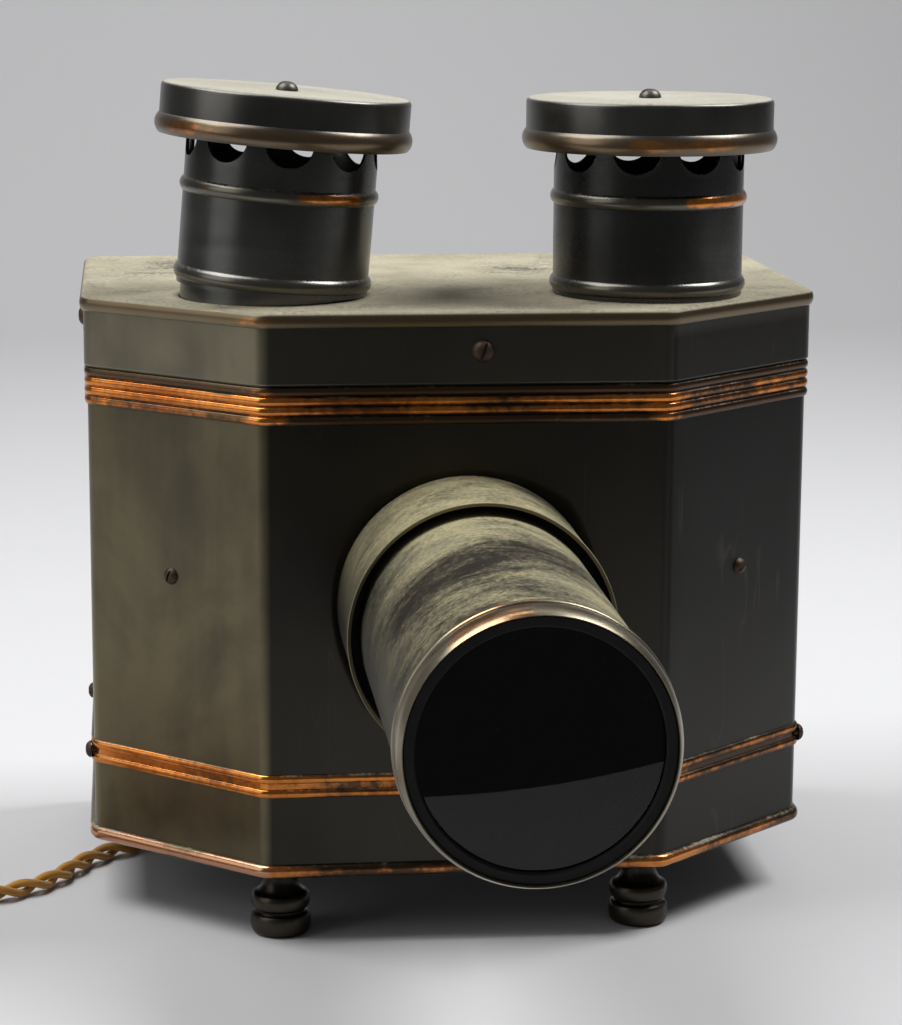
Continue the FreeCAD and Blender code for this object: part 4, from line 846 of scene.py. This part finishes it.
# card door: a flat plate whose border is pressed up in a smooth step, with rounded corners
door = {"pressed": .0007, "border": .009, "soft": .004, "corner": .004, "sheet": .0007, "wave": .00006,
        "waveFrom": .012, "waveAcross": 38, "waveUp": 46, "marks": ((0, .016, 17), (.02, .05, 7)),
        "plain": .055, "edgeWorn": .6, "edgeReach": .0012, "stepWorn": .5, "stepReach": .0015, "copper": .3,
        "pale": .35}


def makeDoor():
    low, high = (np.array(c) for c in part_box("card_door"))
    centre, half = (low + high) / 2, (high - low)[[0, 2]] / 2
    corner, plain = door["corner"], door["plain"]
    marks = np.concatenate([np.linspace(*span) for span in door["marks"]])
    middle = np.linspace(plain, 2 * half[0] - plain, 14)
    u = np.concatenate([marks, middle, 2 * half[0] - marks[::-1]]) - half[0]
    v = np.concatenate([marks, 2 * half[1] - marks[::-1]]) - half[1]
    x, z = np.meshgrid(u, v)
    inset = np.minimum(half[0] - np.abs(x), half[1] - np.abs(z))
    dish = door["pressed"] * smooth(ramp(inset, door["border"], door["soft"]))
    overX, overZ = np.abs(x) - half[0] + corner, np.abs(z) - half[1] + corner
    squeeze = np.hypot(np.clip(overX, 0, None), np.clip(overZ, 0, None))
    pull = np.where(squeeze > corner, corner / np.maximum(squeeze, 1e-9), 1)
    roundX = np.where(pull < 1, np.sign(x) * (half[0] - corner + overX * pull), x)
    roundZ = np.where(pull < 1, np.sign(z) * (half[1] - corner + overZ * pull), z)
    wave = np.sin(x * door["waveAcross"] + 1) * np.sin(z * door["waveUp"]) * door["wave"]
    flat = (inset > door["waveFrom"]) * wave
    points = np.stack([centre[0] + roundX, high[1] - dish + flat, centre[2] + roundZ], -1)
    edge = door["edgeWorn"] * np.clip(1 - inset / door["edgeReach"], 0, 1)
    step = door["stepWorn"] * np.exp(-((inset - door["border"]) / door["stepReach"]) ** 2)
    values = {"crest": (edge + step).ravel(), "copper": door["copper"], "pale": door["pale"]}
    piece = addPiece("cardDoorPlate", points, gridFaces(len(v), len(u)), values)
    if piece.data.polygons[0].normal.y < 0:
        piece.data.flip_normals()
    thicken(piece, door["sheet"], even=False)
    return settle(piece, "door", "shell", ("card_door",))


# turned knob: a rose on the door, a neck, a swelling and a domed end
knob = {"radius": .0055, "neck": .0026, "length": .0082, "rose": .75, "roseTall": .0006,
        "roseTop": (.0006, .0012), "neckTall": .0022, "ballFrom": .0030, "ballShare": .62, "domeFrom": .0046,
        "segments": 48}


def makeKnob():
    low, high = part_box("door_knob")
    r, neck, end, ballFrom, domeFrom = (knob[k] for k in ("radius", "neck", "length", "ballFrom", "domeFrom"))
    rose, (roseOut, roseTop) = r * knob["rose"], knob["roseTop"]
    stem = [(0, 0), (rose, 0), (rose, knob["roseTall"]), (neck + roseOut, roseTop), (neck, knob["neckTall"])]
    a = np.linspace(.05, np.pi / 2, 12)
    rise = (end - ballFrom) * (.5 - .5 * np.cos(a)) * knob["ballShare"]
    ball = outlineRun(neck + (r - neck) * np.sin(a) ** .7, ballFrom + rise)
    a = np.linspace(.1, np.pi / 2, 12)
    dome = outlineRun(r * np.cos(a), domeFrom + (end - domeFrom) * np.sin(a))
    outline = np.vstack([stem, ball, dome])
    place = ((low.x + high.x) / 2, low.y, (low.z + high.z) / 2)
    piece = addTurned("doorKnobTurned", outline, place, outOfBack, knob["segments"])
    return settle(piece, "door", "bright_brass", ("door_knob",))


makeDoor()
makeKnob()
print("door made")


# sets a node's inputs: a socket is linked, a colour of three numbers gets its alpha, any other value is set
def setInputs(tree, node, inputs):
    for key, value in inputs.items():
        socket = node.inputs[key]
        if isinstance(value, bpy.types.NodeSocket):
            tree.links.new(value, socket)
        else:
            socket.default_value = (*value, 1.0) if socket.type == "RGBA" else value


def addNode(tree, kind, inputs=None, **settings):
    made = tree.nodes.new("ShaderNode" + kind)
    for key, value in settings.items():
        setattr(made, key, value)
    setInputs(tree, made, inputs or {})
    return made


def calc(tree, operation, first, second=0.0, clamp=False):
    return addNode(tree, "Math", {0: first, 1: second}, operation=operation, use_clamp=clamp).outputs[0]


def plus(tree, first, second):
    return calc(tree, "ADD", first, second)


def minus(tree, first, second):
    return calc(tree, "SUBTRACT", first, second)


def times(tree, first, second, clamp=False):
    return calc(tree, "MULTIPLY", first, second, clamp)


def mixColour(tree, share, first, second):
    return addNode(tree, "Mix", {0: share, 6: first, 7: second}, data_type="RGBA").outputs[2]


def mixNumber(tree, share, first, second):
    return addNode(tree, "Mix", {0: share, 2: first, 3: second}).outputs[0]


def stepBetween(tree, value, low, high):
    return addNode(tree, "MapRange", {0: value, 1: low, 2: high}, interpolation_type="SMOOTHSTEP").outputs[0]


def objectPlace(tree):
    return addNode(tree, "TexCoord").outputs["Object"]


def stretched(tree, place, by):
    return addNode(tree, "VectorMath", {0: place, 1: by}, operation="MULTIPLY").outputs[0]


def splitVector(tree, vector):
    return addNode(tree, "SeparateXYZ", {0: vector}).outputs


def noise(tree, place, scale, detail=2.0, rough=.5, warp=0.0):
    inputs = {"Vector": place, "Scale": scale, "Detail": detail, "Roughness": rough, "Distortion": warp}
    return addNode(tree, "TexNoise", inputs).outputs[0]


def bump(tree, height, strength, distance=.0002):
    return addNode(tree, "Bump", {"Height": height, "Strength": strength, "Distance": distance}).outputs[0]


def pointValue(tree, name):
    return addNode(tree, "Attribute", attribute_name=name).outputs["Fac"]


def useGroup(tree, group, inputs):
    return addNode(tree, "Group", inputs, node_tree=group).outputs


# a node group with numbers out; an input is a number, or a vector where its value has three parts
def newGroup(name, inputs, outputs):
    group = bpy.data.node_groups.new(name, "ShaderNodeTree")
    for label, value in inputs.items():
        kind = "NodeSocketVector" if isinstance(value, tuple) else "NodeSocketFloat"
        group.interface.new_socket(label, in_out="INPUT", socket_type=kind).default_value = value
    for label in outputs:
        group.interface.new_socket(label, in_out="OUTPUT", socket_type="NodeSocketFloat")
    return group, group.nodes.new("NodeGroupInput").outputs, group.nodes.new("NodeGroupOutput")


# mottled tarnish: slow cloudy patches, fine grain and drawn streaks, as a tone, a sheen and a height
def tarnishGroup():
    inputs = {"Scale": 30.0, "Streak": .2, "Stretch": (14.0, 14.0, 90.0)}
    group, given, out = newGroup("mottledTarnish", inputs, ("Tone", "Sheen", "Height"))
    place = objectPlace(group)
    cloud = noise(group, place, given["Scale"], 5.0, .58, .4)
    fine = noise(group, place, 420.0, 3.0, .6)
    streak = noise(group, stretched(group, place, given["Stretch"]), 1.0, 3.0)
    mixed = mixNumber(group, given["Streak"], cloud, streak)
    setInputs(group, out, {"Tone": stepBetween(group, mixed, .30, .72),
                           "Sheen": mixNumber(group, .35, cloud, fine),
                           "Height": mixNumber(group, .5, fine, streak)})
    return group


# bare metal on raised places: patches and scuffs lift or lower how far the wear reaches down from the crest
def wearGroup():
    group, given, out = newGroup("crestWear", {"Crest": 0.0, "Amount": .5, "Patch": 30.0}, ("Mask",))
    place = objectPlace(group)
    patch = noise(group, place, given["Patch"], 3.0, .55)
    scuff = noise(group, place, 210.0, 4.0, .7)
    uneven = plus(group, times(group, patch, 1.1), times(group, scuff, .5))
    reach = plus(group, minus(group, uneven, .80), given["Amount"])
    level = plus(group, reach, times(group, minus(group, given["Crest"], 1.0), .55))
    raised = stepBetween(group, given["Crest"], .05, .4)
    setInputs(group, out, {"Mask": times(group, stepBetween(group, level, .36, .66), raised)})
    return group


# settled dust: on faces that look up, in patches with grain, drawn out along the stretch
# shade varies its colour
def dustGroup():
    inputs = {"Amount": .5, "Steep": .35, "Stretch": (26.0, 26.0, 26.0), "Grain": 600.0, "Soft": .23}
    group, given, out = newGroup("settledDust", inputs, ("Mask", "Shade"))
    place = objectPlace(group)
    facing = splitVector(group, addNode(group, "NewGeometry").outputs["Normal"])[2]
    patch = noise(group, stretched(group, place, given["Stretch"]), 1.0, 7.0, .68, .6)
    speck = noise(group, place, given["Grain"], 3.0, .7)
    slow = noise(group, place, 24.0, 6.0, .7)
    uneven = plus(group, times(group, patch, 1.7), times(group, speck, .8))
    depth = plus(group, minus(group, uneven, 1.25), given["Amount"])
    cover = stepBetween(group, depth, minus(group, .55, given["Soft"]), plus(group, .55, given["Soft"]))
    lying = stepBetween(group, facing, given["Steep"], .95)
    setInputs(group, out, {"Mask": times(group, lying, cover, True),
                           "Shade": stepBetween(group, mixNumber(group, .35, slow, speck), .34, .66)})
    return group


# fine scratches: thin bands where a stretched noise crosses its middle, in some places only
def scratchGroup():
    inputs = {"Scale": 60.0, "Turn": (0.0, 0.0, 0.0), "Width": .02}
    group, given, out = newGroup("fineScratches", inputs, ("Mask",))
    place = objectPlace(group)
    turned = addNode(group, "Mapping", {"Vector": place, "Rotation": given["Turn"], "Scale": (1.0, 1.0, .12)})
    wander = noise(group, turned.outputs[0], given["Scale"], 2.0, .5, .2)
    away = calc(group, "ABSOLUTE", minus(group, wander, .5))
    beside = addNode(group, "MapRange", {0: away, 1: 0.0, 2: given["Width"]}).outputs[0]
    here = stepBetween(group, noise(group, place, 35.0, 1.0), .5, .68)
    setInputs(group, out, {"Mask": times(group, minus(group, 1.0, beside), here)})
    return group


tarnish, crestWear, settledDust, fineScratches = tarnishGroup(), wearGroup(), dustGroup(), scratchGroup()


def newMaterial(name):
    material = bpy.data.materials.new(name)
    material.use_nodes = True
    tree = material.node_tree
    return material, tree, tree.nodes["Principled BSDF"]


# the dim colour is near black, for painted shade
oxidised = {"deep": (.026, .0254, .0235), "paintedShade": (.003, .003, .003), "olive": (.152, .128, .077),
            "bronze": (.080, .042, .022), "copper": (.68, .245, .052), "brown": (.35, .100, .018),
            "rose": (.50, .26, .15), "dust": (.39, .355, .26), "soil": (.22, .195, .13),
            "cloud": 20.0, "streak": .30, "stretch": (60.0, 60.0, 12.0), "toneShare": .75, "toneLeast": .45,
            "scratch": (.16, .15, .13), "scratchSize": 70.0, "scratchTurn": (0.0, 1.2, .4),
            "scratchWidth": .010, "scratchShare": .12, "dustAmount": .35, "steep": .35,
            "dustStretch": (26.0, 26.0, 26.0), "dustSoft": .23, "handledShare": .60, "bronzeShare": .85,
            "brownTo": (.36, .60), "rosyBelow": .034, "rosyLeast": .15, "rough": (.24, .40), "polish": .18,
            "dustRough": .92, "metallic": .88, "grain": .4, "dustGrain": .5, "bump": (.12, .0003)}


# oxidised copper plate: dark mottled metal made lighter by painted reflection and darker by painted shade from
# point values, bronze and then copper on worn crests, dust on what looks up
def oxidisedPlate(name, **changes):
    look = dict(oxidised, **changes)
    material, tree, shader = newMaterial(name)
    tone = useGroup(tree, tarnish, {"Scale": look["cloud"], "Streak": look["streak"],
                                    "Stretch": look["stretch"]})
    scratch = useGroup(tree, fineScratches, {"Scale": look["scratchSize"], "Turn": look["scratchTurn"],
                                             "Width": look["scratchWidth"]})[0]
    crest, paleToneAndPaintedLight = pointValue(tree, "crest"), pointValue(tree, "pale")
    worn = useGroup(tree, crestWear, {"Crest": crest, "Amount": pointValue(tree, "copper")})[0]
    handled = times(tree, pointValue(tree, "handled"), look["handledShare"])
    dust = useGroup(tree, settledDust, {"Amount": minus(tree, look["dustAmount"], handled),
                                        "Steep": look["steep"], "Stretch": look["dustStretch"],
                                        "Soft": look["dustSoft"]})
    pale = plus(tree, times(tree, tone["Tone"], look["toneShare"]), look["toneLeast"])
    # painted reflection: the pale point value lifts the metal from deep to olive where a panel faces the light
    metal = mixColour(tree, times(tree, pale, paleToneAndPaintedLight, True), look["deep"], look["olive"])
    # painted shade: the dim point value darkens the metal towards near black
    metal = mixColour(tree, pointValue(tree, "paintedShade"), metal, look["paintedShade"])
    metal = mixColour(tree, times(tree, scratch, look["scratchShare"]), metal, look["scratch"])
    metal = mixColour(tree, times(tree, crest, look["bronzeShare"]), metal, look["bronze"])
    low = calc(tree, "LESS_THAN", splitVector(tree, objectPlace(tree))[2], look["rosyBelow"])
    # the rosy copper of the bottom roll is real wear, but it is strongest where the pale value is high, so it
    # carries painted reflection too
    rosy = times(tree, low, calc(tree, "MAXIMUM", paleToneAndPaintedLight, look["rosyLeast"]))
    bare = mixColour(tree, stepBetween(tree, tone["Sheen"], *look["brownTo"]), look["brown"], look["copper"])
    metal = mixColour(tree, worn, metal, mixColour(tree, rosy, bare, look["rose"]))
    powder = mixColour(tree, dust["Shade"], look["soil"], look["dust"])
    rough = mixNumber(tree, worn, mixNumber(tree, tone["Sheen"], *look["rough"]), look["polish"])
    grain = times(tree, tone["Height"], look["grain"])
    grain = plus(tree, grain, times(tree, dust["Mask"], look["dustGrain"]))
    setInputs(tree, shader, {"Base Color": mixColour(tree, dust["Mask"], metal, powder),
                             "Roughness": mixNumber(tree, dust["Mask"], rough, look["dustRough"]),
                             "Metallic": mixNumber(tree, dust["Mask"], look["metallic"], 0.0),
                             "Normal": bump(tree, grain, *look["bump"])})
    return material


# plain finishes with grain: a base and a second colour mixed by noise, with bump from the same noise
def grainFinish(name, first, second, scale, rough, strength, coat=0.0, specular=.5):
    material, tree, shader = newMaterial(name)
    grain = noise(tree, objectPlace(tree), scale, 6.0, .65)
    setInputs(tree, shader, {"Base Color": mixColour(tree, stepBetween(tree, grain, .3, .7), first, second),
                             "Roughness": mixNumber(tree, grain, rough - .1, rough + .1), "Coat Weight": coat,
                             "Specular IOR Level": specular, "Normal": bump(tree, grain, strength)})
    return material


glassLook = {"speck": (.90, .88, .80), "cells": 150.0, "speckSize": .05, "speckRough": .4, "film": 45.0,
             "filmRough": .03, "refraction": 1.36}


# clear glass with a little dust: small specks in scattered cells and a thin film raise the roughness
def glassFinish(name, tint, dusty):
    material, tree, shader = newMaterial(name)
    place = objectPlace(tree)
    cell = addNode(tree, "TexVoronoi", {"Vector": place, "Scale": glassLook["cells"]}).outputs["Distance"]
    film = times(tree, noise(tree, place, glassLook["film"], 4.0), glassLook["filmRough"] * dusty)
    speck = times(tree, calc(tree, "LESS_THAN", cell, glassLook["speckSize"]), dusty)
    setInputs(tree, shader, {"Base Color": mixColour(tree, speck, tint, glassLook["speck"]),
                             "Roughness": plus(tree, film, times(tree, speck, glassLook["speckRough"])),
                             "Transmission Weight": 1.0, "IOR": glassLook["refraction"]})
    return material


braid = {"along": 62.0, "threads": 8, "dark": (.19, .068, .004), "light": (.66, .315, .026),
         "soil": (.10, .055, .018), "soilSize": 45.0, "rough": (.88, .68), "sheen": .25, "bump": (.7, .00025)}


# braided cotton: two sets of threads crossing on the strand's own map, lighter on the crowns
def braidFinish():
    material, tree, shader = newMaterial("braidedCotton")
    split = splitVector(tree, addNode(tree, "UVMap", uv_map="strandMap").outputs[0])
    along = times(tree, split[1], braid["along"])
    across = times(tree, split[0], braid["threads"] * 2 * math.pi)
    left = calc(tree, "SINE", plus(tree, along, across))
    right = calc(tree, "SINE", minus(tree, along, across))
    thread = plus(tree, times(tree, calc(tree, "MAXIMUM", left, right), .5), .5)
    soiled = stepBetween(tree, noise(tree, objectPlace(tree), braid["soilSize"], 5.0), .52, .8)
    yarn = mixColour(tree, thread, braid["dark"], braid["light"])
    setInputs(tree, shader, {"Base Color": mixColour(tree, soiled, yarn, braid["soil"]),
                             "Roughness": mixNumber(tree, thread, *braid["rough"]),
                             "Sheen Weight": braid["sheen"], "Normal": bump(tree, thread, *braid["bump"])})
    return material


finishes = {
    "shell": oxidisedPlate("oxidisedPlate"),
    "tube": oxidisedPlate("dustyTube", deep=(.040, .038, .032), olive=(.13, .12, .09), bronze=(.20, .17, .11),
                          dust=(.38, .33, .172), soil=(.185, .170, .102), dustAmount=.78, steep=-.10,
                          cloud=70.0, streak=.5, stretch=(18.0, 160.0, 18.0), dustSoft=.48,
                          dustStretch=(42.0, 80.0, 42.0), rough=(.34, .55), scratch=(.34, .32, .25),
                          scratchSize=240.0, scratchWidth=.02, scratchShare=.2),
    "bezel": oxidisedPlate("wornBezel", deep=(.050, .044, .037), olive=(.27, .245, .185),
                           bronze=(.30, .25, .17), copper=(.50, .27, .13), brown=(.30, .17, .09),
                           dustAmount=.10, cloud=90.0, streak=.5, stretch=(20.0, 200.0, 20.0),
                           rough=(.14, .50)),
    "screw_steel": oxidisedPlate("dullScrew", deep=(.075, .050, .038), olive=(.15, .10, .075),
                                 dust=(.20, .16, .12), dustAmount=.20, cloud=180.0, rough=(.45, .6)),
    "foot_brass": oxidisedPlate("darkTurnedBrass", deep=(.012, .010, .008), olive=(.046, .041, .033),
                                bronze=(.056, .048, .036), dust=(.16, .14, .10), dustAmount=.10, cloud=90.0,
                                rough=(.26, .42)),
    "hinge_metal": oxidisedPlate("dullHinge", deep=(.12, .080, .042), olive=(.26, .18, .095), dustAmount=.20,
                                 cloud=90.0, rough=(.34, .5)),
    "bright_brass": oxidisedPlate("warmBrass", deep=(.42, .29, .115), olive=(.58, .42, .18), dustAmount=.10,
                                  cloud=120.0),
    "mirror_metal": oxidisedPlate("lampMirror", deep=(.60, .60, .59), olive=(.70, .70, .68), dustAmount=.05,
                                  cloud=40.0, rough=(.10, .28)),
    "blackened": grainFinish("blackenedMetal", (.004, .004, .004), (.009, .009, .008), 160.0, .6, .25,
                             specular=.25),
    "felt": grainFinish("blackFelt", (.008, .008, .008), (.02, .019, .018), 900.0, .92, .9),
    "porcelain": grainFinish("glazedPorcelain", (.70, .68, .61), (.78, .76, .70), 40.0, .22, .05, coat=.4),
    "bushing_black": grainFinish("blackRubber", (.012, .012, .012), (.03, .03, .028), 300.0, .6, .4),
    "tape": grainFinish("cottonTape", (.36, .31, .22), (.48, .42, .31), 1400.0, .9, .9),
    "plug_brown": grainFinish("brownMoulding", (.045, .016, .007), (.085, .032, .013), 55.0, .28, .08,
                              coat=.3),
    "lens_glass": glassFinish("lensGlassClear", (.42, .44, .42), .5),
    "bulb_glass": glassFinish("bulbGlassClear", (.95, .95, .93), .2),
    "flex": braidFinish(),
}
# pieces and nodes that have aged in their own way
gunmetal = oxidisedPlate("gunmetalChimney", deep=(.026, .026, .0265), olive=(.130, .130, .122),
                         bronze=(.135, .122, .098), dustAmount=.30, stretch=(14.0, 14.0, 220.0),
                         rough=(.20, .34))
capMetal = oxidisedPlate("dustyCap", deep=(.026, .026, .0255), olive=(.130, .127, .115),
                         bronze=(.19, .130, .074), copper=(.50, .21, .075), brown=(.33, .135, .045),
                         dust=(.395, .38, .325), soil=(.30, .28, .225), dustAmount=.95, rough=(.22, .36),
                         steep=.6)
lidMetal = oxidisedPlate("dustyLid", deep=(.060, .058, .052), olive=(.230, .205, .140),
                         bronze=(.165, .120, .066), dust=(.40, .365, .265), soil=(.245, .22, .15),
                         dustAmount=.80)
greyScrew = oxidisedPlate("greyScrew", deep=(.10, .095, .080), olive=(.20, .19, .155), dust=(.27, .26, .21),
                          dustAmount=.30, cloud=180.0, rough=(.35, .5))
leadCover = grainFinish("leadCover", (.05, .03, .015), (.12, .07, .03), 500.0, .85, .6)
ownFinish = {"leftChimneyTube": gunmetal, "rightChimneyTube": gunmetal, "leftCapSpun": capMetal,
             "rightCapSpun": capMetal, "skirtedLid": lidMetal, "left_cap_screw": greyScrew,
             "right_cap_screw": greyScrew, "lamp_leads": leadCover}


def setFinish(piece, name, slot):
    piece.data.materials.clear()
    piece.data.materials.append(ownFinish.get(name, finishes[slot]))


slotOf = {part["node"]: part["material_slot"] for part in frame["record"]["subparts"]}
for name, node in nodes.items():
    setFinish(node, name, slotOf[name])
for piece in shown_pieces():
    if "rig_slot" in piece:
        setFinish(piece, piece.name, piece["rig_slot"])
print("finishes set")

# studio: floor that curves up into a backdrop behind, and soft lamps; the skew is seen in the glass only
studio = {"floor": (.60, .60, .61), "fleck": .985, "fleckSize": 60.0, "rough": .75, "specular": .25,
          "front": -.471, "back": 1.6, "side": 3.2, "bend": .7, "tall": 2.6, "skew": .26, "skewReach": .4,
          "world": .085, "behind": .54}


# profile of the backdrop: flat floor, quarter circle, upright wall, carried sideways
def makeStudio():
    back, bend = studio["back"], studio["bend"]
    angle = np.linspace(-np.pi / 2, 0, 24)[1:]
    y = np.concatenate([np.linspace(studio["front"], back, 12), back + bend * np.cos(angle), [back + bend]])
    z = np.concatenate([np.zeros(12), bend * (1 + np.sin(angle)), [studio["tall"]]])
    x = np.linspace(-studio["side"], studio["side"], 65)
    points = np.stack(np.broadcast_arrays(x[None, :], y[:, None], z[:, None]), -1)
    points[0, :, 1] -= studio["skew"] * np.clip(x, -studio["skewReach"], studio["skewReach"])
    piece = addPiece("studioSweep", points, gridFaces(len(y), len(x)), outward=False, sharpAngle=80)
    material, tree, shader = newMaterial("paleSweep")
    fleck = noise(tree, objectPlace(tree), studio["fleckSize"], 3.0)
    darker = tuple(studio["fleck"] * part for part in studio["floor"])
    setInputs(tree, shader, {"Base Color": mixColour(tree, fleck, darker, studio["floor"]),
                             "Roughness": studio["rough"], "Specular IOR Level": studio["specular"]})
    piece.data.materials.append(material)


# place, aim, width, height and power in watts
lamps = {"leftSoftbox": ((-.70, .10, 1.34), (0, .05, .12), .90, .80, 16.6),
         "rightSoftbox": ((.80, .15, 1.30), (0, .05, .12), .55, .60, 18.6),
         "leftWindow": ((-1.7, -.5, .8), (-.1, .3, .05), 1.2, 1.2, 6),
         "backdropWash": ((0, 1.0, 2.0), (0, 2.3, .5), 1.8, .5, 16.0)}


def addLamp(name, place, aim, width, height, power):
    data = bpy.data.lights.new(name, "AREA")
    data.shape = "RECTANGLE"
    data.size, data.size_y, data.energy = width, height, power
    lamp = addObject(name, data)
    lamp.location = place
    lamp.rotation_euler = (Vector(aim) - Vector(place)).to_track_quat("-Z", "Y").to_euler()


def lightWorld():
    world = bpy.data.worlds.new("studioWorld")
    world.use_nodes = True
    tree = world.node_tree
    seen = addNode(tree, "LightPath").outputs["Is Camera Ray"]
    strength = mixNumber(tree, seen, studio["world"], studio["behind"])
    setInputs(tree, tree.nodes["Background"], {"Strength": strength, "Color": (1, 1, 1)})
    bpy.context.scene.world = world


makeStudio()
for name, lamp in lamps.items():
    addLamp(name, *lamp)
lightWorld()
print("studio lit")
